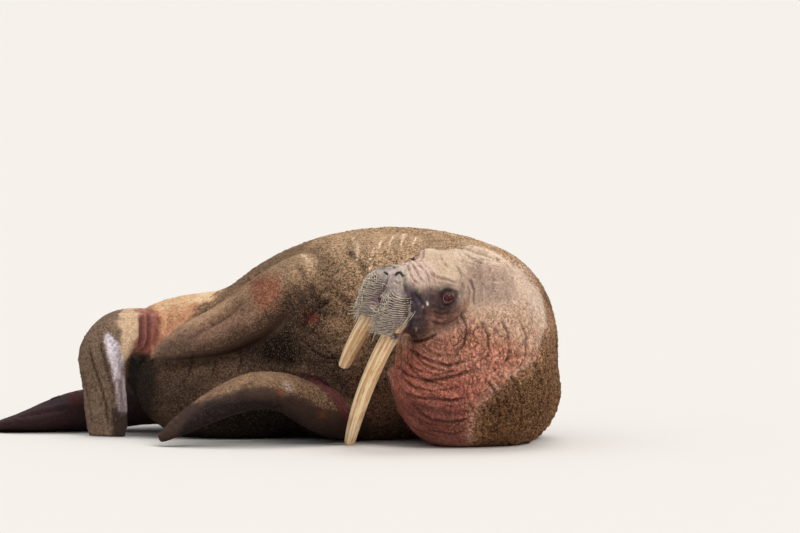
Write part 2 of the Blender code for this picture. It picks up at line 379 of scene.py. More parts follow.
def mesh_of(name: str, points: Rows, faces: Rows) -> bpy.types.Mesh:
    """A smooth mesh from points and faces that all have the same number of corners.

    Args:
        name: its name.
        points: the places, one row each.
        faces: the numbers of each face's corners.

    Returns:
        The mesh.
    """
    mesh = bpy.data.meshes.new(name)
    mesh.from_pydata([], [], [])
    count, corners = faces.shape
    mesh.vertices.add(len(points))
    mesh.vertices.foreach_set("co", points.astype(np.float32).ravel())
    mesh.loops.add(count * corners)
    mesh.loops.foreach_set("vertex_index", faces.astype(np.int32).ravel())
    mesh.polygons.add(count)
    mesh.polygons.foreach_set("loop_start", np.arange(0, count * corners, corners, dtype=np.int32))
    smooth(mesh)
    mesh.update(calc_edges=True)
    return mesh


def applied(obj: bpy.types.Object) -> bpy.types.Object:
    """Turns an object's modifiers into its mesh.

    Args:
        obj: the object.

    Returns:
        The same object.
    """
    bpy.context.view_layer.update()
    graph = bpy.context.evaluated_depsgraph_get()
    shape = bpy.data.meshes.new_from_object(obj.evaluated_get(graph))
    obj.modifiers.clear()
    obj.data = shape
    return obj


class Web:
    """Which vertices of a mesh are joined, for smoothing places and markings."""

    def __init__(self, mesh: bpy.types.Mesh) -> None:
        """Reads the mesh's edges.

        Args:
            mesh: the mesh.
        """
        flat = np.empty(len(mesh.edges) * 2, dtype=np.int32)
        mesh.edges.foreach_get("vertices", flat)
        self.first, self.second = flat.reshape(-1, 2).T
        self.size = len(mesh.vertices)
        self.links = np.maximum(np.bincount(flat, minlength=self.size), 1)

    def mean(self, values: Rows) -> Rows:
        """The average of each vertex's neighbours.

        Args:
            values: numbers or rows, one for each vertex.

        Returns:
            The averages, in the same shape.
        """
        columns = values.reshape(self.size, -1)
        total = np.stack([
            np.bincount(self.first, column[self.second], self.size)
            + np.bincount(self.second, column[self.first], self.size)
            for column in columns.T
        ], axis=1)
        return (total / self.links[:, None]).reshape(values.shape)

    def blurred(self, values: Rows, rounds: int) -> Rows:
        """Values spread into their neighbours.

        Args:
            values: numbers or rows, one for each vertex.
            rounds: how far they spread.

        Returns:
            The spread values.
        """
        for _ in range(rounds):
            values = 0.5 * (values + self.mean(values))
        return values

    def fair(self, points: Rows, rounds: int, share: Rows | float = 1.0) -> Rows:
        """Points smoothed without shrinking.

        Args:
            points: the places, one row each.
            rounds: how many times they are pulled in and pushed back.
            share: how much of the smoothing each point takes.

        Returns:
            The new places.
        """
        share = np.broadcast_to(share, self.size)[:, None]
        for _ in range(rounds):
            points = points + 0.55 * share * (self.mean(points) - points)
            points = points - 0.565 * share * (self.mean(points) - points)
        return points


def line_distance(points: Rows, line: Rows) -> tuple[Rows, Rows]:
    """How far points lie from a line of points.

    Args:
        points: the places, one row each.
        line: the line's own points, one row each.

    Returns:
        The distance of each point, and how far along the line its nearest place is, from 0 to 1.
    """
    best = np.full(len(points), np.inf)
    along = np.zeros(len(points))
    spans = len(line) - 1
    for k in range(spans):
        way = line[k + 1] - line[k]
        share = np.clip((points - line[k]) @ way / max(float(way @ way), 1e-12), 0, 1)
        gap = np.linalg.norm(points - (line[k] + share[:, None] * way), axis=1)
        near = gap < best
        best[near] = gap[near]
        along[near] = (k + share[near]) / spans
    return best, along


def inside(pixels: Rows, outline: tuple[Pixel, ...], soft: float) -> Rows:
    """How much each pixel place lies inside a closed outline.

    Args:
        pixels: the places, one row each.
        outline: the corners of the outline.
        soft: how wide its soft edge is, in pixels.

    Returns:
        1 inside, 0 outside and a soft step between.
    """
    corners = np.array(outline, dtype=float)
    x, y = pixels.T
    within = np.zeros(len(pixels), dtype=bool)
    gap = np.full(len(pixels), np.inf)
    for (ax, ay), (bx, by) in zip(corners, np.roll(corners, -1, axis=0)):
        crosses = (ay > y) != (by > y)
        level = ax + (y - ay) / np.where(by == ay, 1e-9, by - ay) * (bx - ax)
        within ^= crosses & (x < level)
        way = np.array([bx - ax, by - ay])
        share = np.clip(((x - ax) * way[0] + (y - ay) * way[1]) / max(float(way @ way), 1e-9), 0, 1)
        gap = np.minimum(gap, np.hypot(x - ax - share * way[0], y - ay - share * way[1]))
    return step(-soft, soft, np.where(within, gap, -gap))


@dataclass(frozen=True)
class Fold:
    """A crease in the hide, or a ridge where its depth is negative, drawn where the photo shows it.

    A fold of both sides of the face is drawn on the left side and repeated on the right.
    """

    path: tuple[Pixel, ...]
    width: float
    depth: float
    lip: float = 0.45
    # How much shade is painted into the crease's core.
    dark: float = 0.6
    both: bool = False


# Folds of the throat, nape, face, flanks and flippers. Widths and depths are in metres; dark is how much
# shade is painted into each crease's core.
THROAT_FOLDS = (
    Fold(((404, 346), (425, 358), (447, 366), (470, 360)), 0.006, 0.0085, 0.5, 0.8),
    Fold(((398, 355), (413, 368), (436, 375), (463, 369)), 0.004, 0.005),
    Fold(((392, 363), (408, 375), (426, 381), (456, 376), (478, 368)), 0.006, 0.0085, 0.5, 0.8),
    Fold(((396, 374), (412, 386), (432, 391), (460, 388)), 0.0045, 0.0055),
    Fold(((401, 391), (416, 397), (432, 399), (450, 401), (470, 397)), 0.006, 0.008, 0.5, 0.8),
    Fold(((409, 401), (420, 412), (432, 420), (452, 423), (473, 418)), 0.006, 0.0085, 0.5, 0.8),
    Fold(((414, 418), (430, 430), (450, 434), (468, 431)), 0.005, 0.006),
    Fold(((458, 312), (466, 326), (464, 342), (455, 356)), 0.0055, 0.0065, 0.5, 0.7),
    Fold(((478, 318), (487, 334), (489, 352), (482, 368)), 0.0055, 0.0065, 0.5, 0.7),
    Fold(((500, 318), (508, 334), (510, 352), (503, 370)), 0.0055, 0.0065, 0.5, 0.7),
    Fold(((520, 322), (527, 338), (526, 356), (518, 372)), 0.0055, 0.006, 0.5, 0.7),
    Fold(((484, 378), (494, 390), (500, 408), (498, 428)), 0.006, 0.007, 0.5, 0.7),
    Fold(((508, 372), (518, 388), (522, 408), (519, 430)), 0.006, 0.007, 0.5, 0.7),
    Fold(((532, 356), (540, 374), (543, 396), (538, 422)), 0.006, 0.0065, 0.5, 0.7),
)
NAPE_FOLDS = (
    Fold(((460, 249), (469, 257), (477, 259), (500, 260)), 0.005, 0.007, 0.6, 0.6),
    Fold(((466, 252), (474, 261), (490, 265), (508, 266)), 0.0035, 0.003, 0.6, 0.4),
    Fold(((468, 276), (473, 290), (472, 306)), 0.005, 0.0055, 0.6, 0.3),
    Fold(((482, 270), (484, 282), (483, 292), (478, 303)), 0.008, -0.005, 0.0, 0.0),
    Fold(((489, 266), (494, 280), (493, 294)), 0.004, 0.0035, 0.6, 0.35),
    Fold(((505, 262), (513, 276), (517, 292)), 0.006, 0.003, 0.6, 0.1),
    Fold(((456, 264), (462, 275), (463, 287), (459, 298)), 0.005, 0.0055, 0.6, 0.35),
    Fold(((439, 253), (442, 262), (448, 268)), 0.006, 0.005, 0.6, 0.15),
)
FACE_FOLDS = (
    Fold(((403, 268), (404, 280), (407, 294), (410, 310), (410, 325), (406, 337)), 0.0065, 0.0065, 0.6, 0.5,
        both=True),
    Fold(((388, 275), (384, 287), (380, 299), (376, 311), (373, 322)), 0.0055, 0.009, 0.4, 0.7),
    Fold(((406, 338), (416, 341), (427, 339), (438, 333)), 0.005, 0.008, 0.7, 0.65, both=True),
    Fold(((395.0, 275.6), (397.2, 272.8), (400.4, 272.4), (403.2, 276.2)), 0.0042, 0.013, 0.22, 1.0),
    Fold(((384.3, 272.3), (387.3, 274.5)), 0.0036, 0.01, 0.22, 1.0),
    Fold(((404, 267), (411, 263), (418, 257)), 0.014, -0.011, 0.0, 0.0),
    Fold(((394, 281), (398, 284), (403, 281)), 0.004, 0.004, 0.5, 0.4),
    Fold(((406, 265), (410, 272), (413, 279), (418, 285)), 0.004, 0.005, 0.6, 0.5, both=True),
    Fold(((411, 263), (416, 270), (420, 277), (424, 284)), 0.004, 0.0048, 0.6, 0.45, both=True),
    Fold(((417, 263), (424, 269), (428, 276), (430, 284)), 0.004, 0.0045, 0.6, 0.4, both=True),
    Fold(((424, 264), (431, 270), (434, 277), (434, 285)), 0.004, 0.0035, 0.6, 0.3, both=True),
    Fold(((413, 292), (420, 300), (424, 312), (422, 324)), 0.006, 0.0045, 0.5, 0.4, both=True),
    Fold(((428, 272), (438, 278), (448, 280), (458, 284)), 0.005, 0.005, 0.5, 0.4, both=True),
    Fold(((432, 312), (442, 315), (452, 312), (460, 305)), 0.005, 0.0045, 0.5, 0.4, both=True),
    Fold(((428, 320), (440, 325), (452, 321), (466, 309)), 0.0055, 0.0055, 0.5, 0.5, both=True),
)
BODY_FOLDS = (
    Fold(((330, 300), (318, 306), (306, 318), (299, 330)), 0.012, 0.014, 0.5, 1.0),
    Fold(((336, 296), (348, 302), (360, 316), (366, 334)), 0.012, 0.008),
    Fold(((218, 354), (214, 366), (211, 380)), 0.005, 0.007, 0.5, 0.8),
    Fold(((240, 348), (241, 360), (238, 374)), 0.005, 0.006, 0.5, 0.8),
    Fold(((194, 354), (190, 368), (180, 388)), 0.005, 0.006, 0.5, 0.8),
    Fold(((268, 338), (278, 350), (290, 361), (301, 366)), 0.005, 0.006, 0.5, 0.8),
    Fold(((300, 338), (312, 350), (325, 358), (343, 358)), 0.005, 0.006, 0.5, 0.8),
    Fold(((294, 326), (308, 310), (320, 296), (330, 282)), 0.005, 0.006, 0.5, 0.8),
    Fold(((140, 312), (141, 325), (141, 338), (138, 352)), 0.007, 0.011, 0.6, 1.0),
    Fold(((149, 310), (149, 324), (149, 338), (145, 352)), 0.007, 0.009, 0.6, 0.9),
    Fold(((158, 312), (160, 322), (157, 335), (152, 348)), 0.007, 0.007),
    Fold(((345, 250), (360, 262), (366, 280)), 0.012, 0.005),
    Fold(((296, 262), (308, 284), (316, 306)), 0.014, 0.007),
)
FLIPPER_FOLDS = (
    Fold(((252.5, 275), (239, 298), (220, 314), (195, 326), (174.5, 337), (160, 347)), 0.014, -0.009, 0.0,
        0.0),
    Fold(((246, 296), (228, 315), (204, 329), (182, 341)), 0.012, 0.007),
    Fold(((353, 404), (340, 390), (321, 378), (299, 372), (276, 368), (257, 370), (230, 384), (207, 397)),
        0.013, -0.007, 0.0, 0.0),
    Fold(((101, 330), (108, 352), (113, 377), (114, 427)), 0.01, -0.009, 0.0, 0.0),
    Fold(((97, 338), (103, 356), (110, 378), (114, 398), (112, 427)), 0.005, 0.0065, 0.6, 0.7),
    Fold(((88, 344), (92, 362), (99, 382), (105, 402), (108, 427)), 0.005, 0.0065, 0.6, 0.7),
    Fold(((82, 366), (86, 392), (93, 427)), 0.005, 0.004, 0.6, 0.4),
    Fold(((118, 342), (120, 360), (121, 385), (122, 415)), 0.006, 0.005),
    Fold(((62, 396), (40, 402), (12, 412)), 0.009, 0.007),
    Fold(((70, 408), (45, 412), (15, 417)), 0.009, 0.007),
)


@dataclass(frozen=True)
class Mark:
    """A small mark of another colour, such as a scar, along a path of the photo's pixels."""

    path: tuple[Pixel, ...]
    width: float
    colour: tuple[float, float, float]
    share: float = 0.8


SCAR = tone(214, 186, 160)
MARKS = (
    Mark(((358, 245), (357, 260)), 0.0045, SCAR),
    Mark(((374, 249), (370, 259)), 0.0045, SCAR),
    Mark(((382, 238), (379, 247)), 0.004, SCAR),
    Mark(((393, 236), (389, 245)), 0.004, SCAR),
    Mark(((404, 235), (401, 244)), 0.0045, SCAR),
    Mark(((416, 238), (412, 246)), 0.0035, SCAR),
    Mark(((352, 238), (356, 244)), 0.0035, SCAR),
    Mark(((302, 255), (307, 258), (308, 262)), 0.004, SCAR),
    Mark(((372, 266), (368, 270)), 0.0035, SCAR),
    Mark(((427.2, 302.4), (427.7, 304.8)), 0.0034, tone(240, 212, 186), 0.9),
    Mark(((398.2, 328.5), (398.8, 331)), 0.0045, tone(196, 150, 120), 0.8),
    Mark(((309, 378), (322, 384), (336, 396), (347, 412)), 0.003, tone(150, 62, 76)),
    Mark(((318, 386), (330, 394), (341, 408)), 0.0022, tone(140, 56, 68), 0.6),
    Mark(((108, 337), (115, 350), (119, 364), (117, 380)), 0.003, tone(110, 98, 112), 0.6),
    Mark(((114, 341), (120, 354), (121, 370), (121, 386)), 0.0022, tone(120, 106, 118), 0.6),
    Mark(((118, 380), (121, 394), (125, 410)), 0.0045, tone(84, 66, 68), 0.7),
    Mark(((423, 306), (423, 307.5)), 0.0035, tone(190, 160, 150)),
    Mark(((416, 328), (416, 331)), 0.003, tone(190, 160, 150)),
    Mark(((371, 305.5), (373.5, 308.5)), 0.006, tone(208, 178, 180), 0.9),
    Mark(((379, 298), (380, 301)), 0.0045, tone(40, 22, 26), 0.9),
    Mark(((493, 270), (490, 276)), 0.003, SCAR, 0.6),
    Mark(((494, 282), (499, 283)), 0.003, SCAR, 0.6),
    Mark(((512, 300), (515, 303)), 0.003, SCAR, 0.6),
    Mark(((530, 306), (531, 309)), 0.003, SCAR, 0.6),
    Mark(((395, 335.5), (396.5, 337)), 0.0045, tone(74, 18, 20), 0.8),
    # Near-black painted shade inside the nostrils.
    Mark(((395.6, 275.0), (397.4, 272.9), (400.4, 272.5), (402.8, 275.8)), 0.0048, tone(12, 7, 8), 1.0),
    Mark(((384.3, 272.3), (387.3, 274.5)), 0.004, tone(14, 9, 9), 1.0),
    Mark(((393.6, 267.4), (394.6, 267.8)), 0.004, tone(24, 16, 15), 0.9),
)


@dataclass(frozen=True)
class Wart:
    """A round bump on the skin at a pixel of the photo."""

    pixel: Pixel
    radius: float
    colour: tuple[float, float, float]


WARTS = (
    Wart((502, 381.5), 0.0125, tone(214, 132, 92)),
    Wart((526.7, 329.5), 0.009, tone(222, 178, 154)),
    Wart((474, 404.5), 0.0095, tone(176, 108, 92)),
    Wart((461, 391), 0.0085, tone(176, 108, 92)),
    Wart((535, 352), 0.0085, tone(196, 134, 110)),
    Wart((518, 352), 0.0075, tone(190, 128, 106)),
    Wart((496, 366), 0.008, tone(190, 122, 100)),
    Wart((488, 392), 0.0075, tone(182, 116, 96)),
    Wart((509, 342), 0.0065, tone(196, 134, 112)),
)


@dataclass(frozen=True)
class Patch:
    """A patch of colour on some of the flesh, outlined in the photo's pixels.

    A patch of both sides of the face is outlined on the left side and repeated on the right.
    """

    on: tuple[str, ...]
    outline: tuple[Pixel, ...]
    colour: tuple[float, float, float]
    share: float = 0.85
    soft: float = 3.0
    clears: float = 0.0
    both: bool = False


# The loose folded throat, and the bare skin of the neck and nape, in the photo's pixels.
LOOSE_THROAT = (
    (388, 350), (402, 338), (420, 336), (440, 335), (462, 322), (484, 312), (508, 306), (533, 304),
    (547, 318), (556, 360), (553, 400), (545, 440), (415, 440), (400, 395), (388, 366),
)
BARE_NECK = (
    (363, 270), (395, 258), (430, 244), (470, 234), (500, 240), (512, 252), (524, 263), (533, 277),
    (540, 294), (545, 307), (546, 324), (536, 360), (520, 373), (495, 392), (475, 411), (471, 450),
    (388, 450), (388, 400), (380, 360),
)
# A place on the cut between neck and chest and the way across it, on the plan of the sizes.
NECK_PLACE, NECK_WAY = np.array([0.74, -0.11, 0]), np.array([0.52, -0.854, 0])
PALE_HIPS = tone(206, 164, 124)
TRUNK = ("chest", "belly", "hips", "tail")
SKULL = ("head", "muzzle", "lower_jaw")
HIND = ("hips", "tail", "belly", "hindflipper_right")
FORE_RIGHT = ("foreflipper_right",)
FORE_LEFT = ("foreflipper_left",)
HIND_RIGHT = ("hindflipper_right",)
HIND_LEFT = ("hindflipper_left",)
THROAT = ("neck", "lower_jaw", "head")
NECK_PATCHES = (
    Patch(THROAT, ((384, 348), (404, 338), (424, 336), (444, 322), (458, 304), (470, 300), (486, 302),
        (506, 306), (527, 310), (548, 318), (547, 330), (536, 360), (520, 373), (495, 392), (475, 411),
        (471, 445), (396, 445)), tone(204, 166, 138), 0.75, 14.0),
    Patch(THROAT, ((384, 350), (404, 341), (430, 341), (452, 330), (470, 326), (492, 336), (516, 346),
        (534, 356), (516, 372), (494, 388), (472, 408), (466, 445), (396, 445)), tone(232, 156, 130), 0.88,
        14.0),
    Patch(("neck", "lower_jaw"), ((384, 352), (402, 350), (430, 366), (456, 376), (480, 380), (482, 396),
        (468, 412), (462, 445), (398, 445)), tone(224, 134, 114), 0.75, 11.0),
    Patch(("neck",), ((392, 392), (420, 398), (446, 400), (468, 404), (466, 445), (398, 445)),
        tone(114, 60, 54), 0.75, 10.0),
    # Painted highlight on the nape's top.
    Patch(("neck",), ((448, 240), (520, 240), (533, 264), (516, 268), (480, 262), (452, 258)),
        tone(216, 194, 170), 0.6, 7.0),
    # Painted shade in the middle of the nape.
    Patch(("neck", "head"), ((456, 264), (480, 266), (508, 270), (518, 290), (512, 304), (480, 304),
        (460, 300)), tone(150, 127, 111), 0.75, 8.0),
    # Painted highlight on the nape's right edge.
    Patch(("neck",), ((508, 250), (530, 268), (544, 300), (548, 330), (534, 324), (526, 298), (512, 270)),
        tone(203, 179, 158), 0.75, 7.0),
)
FACE_PATCHES = (
    Patch(SKULL, ((398, 252), (428, 240), (470, 240), (470, 272), (440, 278), (404, 270)),
        tone(184, 161, 137), 0.75, 6.0, both=True),
    Patch(SKULL, ((404, 262), (420, 262), (434, 268), (440, 286), (418, 288), (404, 286)),
        tone(198, 172, 160), 0.7, 5.0, both=True),
    Patch(("muzzle",), ((350, 250), (400, 256), (408, 270), (407, 290), (400, 340), (350, 345)),
        tone(172, 157, 153), 0.9, 4.0, both=True),
    Patch(("muzzle", "head"), ((396, 262), (405, 264), (406, 284), (400, 286)), tone(168, 156, 132), 0.7,
        3.0, both=True),
    # Painted shade on the cheek below the eye and behind the pad, on both sides of the face.
    Patch(("muzzle", "head", "lower_jaw"), ((401, 287), (411, 286), (422, 290), (434, 289), (443, 286),
        (452, 287), (457, 294), (458, 304), (456, 311), (448, 322), (430, 333), (414, 344), (403, 345),
        (405, 318), (403, 300)), tone(56, 46, 51), 0.94, 8.0, both=True),
    # Painted shade behind the pad's rear edge.
    Patch(("muzzle", "head"), ((404, 286), (414, 288), (422, 302), (416, 322), (409, 336), (408, 310)),
        tone(66, 56, 66), 0.8, 6.0, both=True),
    Patch(("head", "lower_jaw", "neck"), ((428, 311), (446, 312), (460, 306), (468, 300), (470, 312),
        (458, 326), (440, 334), (426, 330)), tone(120, 80, 66), 0.75, 6.0, both=True),
    # Painted shade round and below the eye.
    Patch(("head",), ((432, 290), (440, 288), (452, 287), (458, 294), (457, 303), (450, 310), (438, 314),
        (432, 306)), tone(42, 27, 30), 0.75, 6.0, both=True),
    # Painted highlight on the lid fold above and behind the eye.
    Patch(("head",), ((450, 282), (463, 284), (466, 298), (460, 303)), tone(168, 146, 138), 0.5, 4.0,
        both=True),
    Patch(("muzzle",), ((368, 292), (380, 288), (384, 300), (378, 306), (370, 302)), tone(150, 112, 122),
        0.6, 3.0),
    Patch(("muzzle", "lower_jaw"), ((391, 332), (399, 331), (402, 338), (398, 343), (390, 342)),
        tone(96, 40, 38), 0.55, 5.0),
)
BODY_PATCHES = (
    # Painted shade on the belly between the fore flippers, partly dark wet sand.
    Patch(TRUNK, ((258, 326), (300, 314), (330, 330), (352, 372), (352, 404), (300, 372), (256, 368),
        (232, 352)), tone(50, 34, 29), 0.85, 12.0, 0.15),
    # Near-black painted shade in the deepest part between the flippers.
    Patch(TRUNK, ((250, 334), (292, 326), (302, 352), (290, 366), (252, 366), (240, 352)), tone(16, 9, 8),
        0.92, 10.0),
    # Darker lower belly below the right fore flipper: partly dark wet sand, partly painted shade.
    Patch(TRUNK, ((120, 440), (120, 350), (162, 356), (228, 354), (262, 344), (262, 372), (200, 394),
        (170, 440)), tone(62, 45, 37), 0.8, 9.0, 0.15),
    # Near-black painted shade on the belly under the left fore flipper.
    Patch(TRUNK, ((156, 444), (190, 410), (240, 398), (280, 402), (304, 424), (340, 444)), tone(26, 18, 16),
        0.92, 6.0, 0.3),
    Patch(TRUNK, ((230, 276), (262, 252), (300, 240), (332, 252), (348, 280), (352, 312), (300, 316),
        (240, 300)), tone(98, 76, 58), 0.75, 12.0),
    Patch(TRUNK, ((350, 372), (392, 380), (404, 400), (412, 440), (352, 440)), tone(84, 56, 44), 0.75, 8.0,
        0.2),
    # Near-black painted shade in the gap between the right hind flipper and the belly.
    Patch(TRUNK, ((118, 405), (130, 352), (156, 348), (158, 395), (150, 440), (118, 440)), tone(24, 15, 14),
        0.9, 8.0, 0.3),
    Patch(HIND, ((134, 318), (140, 306), (150, 300), (176, 288), (205, 282), (222, 284), (219, 291),
        (210, 300), (198, 311), (185, 325), (178, 333), (170, 341), (158, 353), (136, 354)),
        tone(188, 136, 100), 0.95, 3.5, 1.0),
    # Cream top of the hips: their pale bare hide, made paler by a painted highlight.
    Patch(HIND, ((140, 300), (176, 288), (212, 282), (222, 284), (210, 298), (190, 306), (160, 308)),
        tone(226, 198, 158), 0.8, 4.0),
    Patch(HIND, ((135, 310), (152, 308), (160, 318), (158, 338), (150, 354), (134, 354)), tone(122, 66, 64),
        0.85, 5.0),
    Patch(HIND, ((150, 330), (164, 334), (170, 342), (156, 352), (146, 350)), tone(150, 92, 74), 0.6, 4.0),
)
FLIPPER_PATCHES = (
    # Painted shade in the armpit behind the right fore flipper's root.
    Patch(TRUNK + FORE_RIGHT, ((276, 300), (292, 284), (306, 286), (322, 296), (336, 314), (314, 330),
        (286, 328), (270, 318)), tone(50, 34, 27), 0.85, 9.0),
    Patch(FORE_RIGHT, ((248, 280), (262, 275), (279, 278), (282, 291), (274, 304), (263, 314), (256, 302)),
        tone(118, 68, 52), 0.8, 7.0, 0.3),
    # Painted shade along the lower side of the right fore flipper.
    Patch(FORE_RIGHT, ((163, 357), (198, 342), (232, 326), (262, 311), (284, 302), (302, 298), (318, 316),
        (296, 334), (262, 348), (230, 356), (180, 364)), tone(54, 36, 28), 0.82, 7.0),
    Patch(TRUNK + FORE_RIGHT, ((301, 317), (309, 312), (319, 316), (314, 323), (305, 324)),
        tone(112, 40, 38), 0.75, 4.0, 0.5),
    Patch(TRUNK + FORE_LEFT, ((298, 374), (314, 376), (331, 386), (345, 401), (353, 420), (348, 424),
        (338, 407), (324, 392), (306, 380)), tone(84, 36, 42), 0.75, 3.5, 0.9),
    # Painted highlight along the ridge on top of the right fore flipper.
    Patch(FORE_RIGHT, ((232, 300), (218, 312), (200, 322), (180, 331), (162, 346), (186, 324), (208, 308)),
        tone(176, 142, 110), 0.7, 3.0, 0.3),
    Patch(FORE_RIGHT, ((196, 328), (230, 312), (256, 306), (258, 316), (226, 334), (160, 356), (160, 348)),
        tone(124, 93, 78), 0.75, 7.0, 0.2),
    Patch(FORE_RIGHT, ((154, 350), (180, 338), (196, 338), (190, 352), (160, 362)), tone(74, 57, 46), 0.8,
        6.0),
    # Darker lower half of the left fore flipper: partly dark wet skin, partly painted shade.
    Patch(FORE_LEFT, ((152, 444), (162, 425), (178, 410), (197, 403), (222, 394), (248, 387), (270, 388),
        (292, 393), (312, 402), (328, 418), (345, 440)), tone(46, 31, 24), 0.92, 4.0, 0.7),
    # Near-black painted shade under the left fore flipper.
    Patch(FORE_LEFT, ((176, 440), (182, 422), (212, 404), (244, 396), (278, 402), (300, 420), (310, 440)),
        tone(12, 7, 6), 0.94, 5.0, 0.9),
    Patch(FORE_LEFT, ((283, 384), (290, 383), (294, 390), (288, 394)), tone(150, 132, 124), 0.6, 3.0),
    Patch(FORE_LEFT, ((279, 389), (286, 392), (284, 397), (278, 394)), tone(126, 76, 48), 0.6, 2.5),
    Patch(FORE_LEFT, ((318, 412), (325, 412), (327, 419), (319, 419)), tone(104, 54, 34), 0.6, 3.0),
    Patch(HIND_RIGHT, ((104, 336), (108, 332), (115, 338), (121, 347), (125, 357), (123, 370), (125, 384),
        (127, 396), (130, 404), (128, 412), (123, 416), (119, 402), (116, 391), (113, 374), (108, 361),
        (105, 348)), tone(212, 200, 206), 0.97, 1.4, 1.0),
    Patch(HIND_RIGHT, ((116, 380), (124, 378), (130, 404), (126, 416), (118, 404)), tone(160, 138, 140), 0.8,
        3.0),
    # Painted shade at the foot of the right hind flipper, beside the gap to the belly.
    Patch(HIND_RIGHT, ((114, 406), (130, 411), (127, 440), (112, 440)), tone(34, 22, 20), 0.85, 3.0, 0.8),
    Patch(("hindflipper_right", "hips"), ((120, 312), (130, 309), (139, 312), (139, 333), (131, 351),
        (126, 363), (121, 352), (123, 336), (118, 325)), tone(196, 165, 134), 0.92, 2.5, 1.0),
    Patch(HIND_LEFT, ((0, 405), (30, 390), (60, 384), (90, 384), (90, 440), (0, 440)), tone(46, 28, 30),
        0.95, 4.0, 0.9),
    Patch(HIND_LEFT, ((62, 389), (82, 387), (84, 404), (66, 404)), tone(62, 16, 12), 0.95, 4.0),
    Patch(HIND_LEFT, ((0, 405), (30, 391), (48, 385), (80, 383), (80, 391), (48, 394), (30, 400), (0, 413)),
        tone(136, 120, 106), 0.65, 2.5),
)


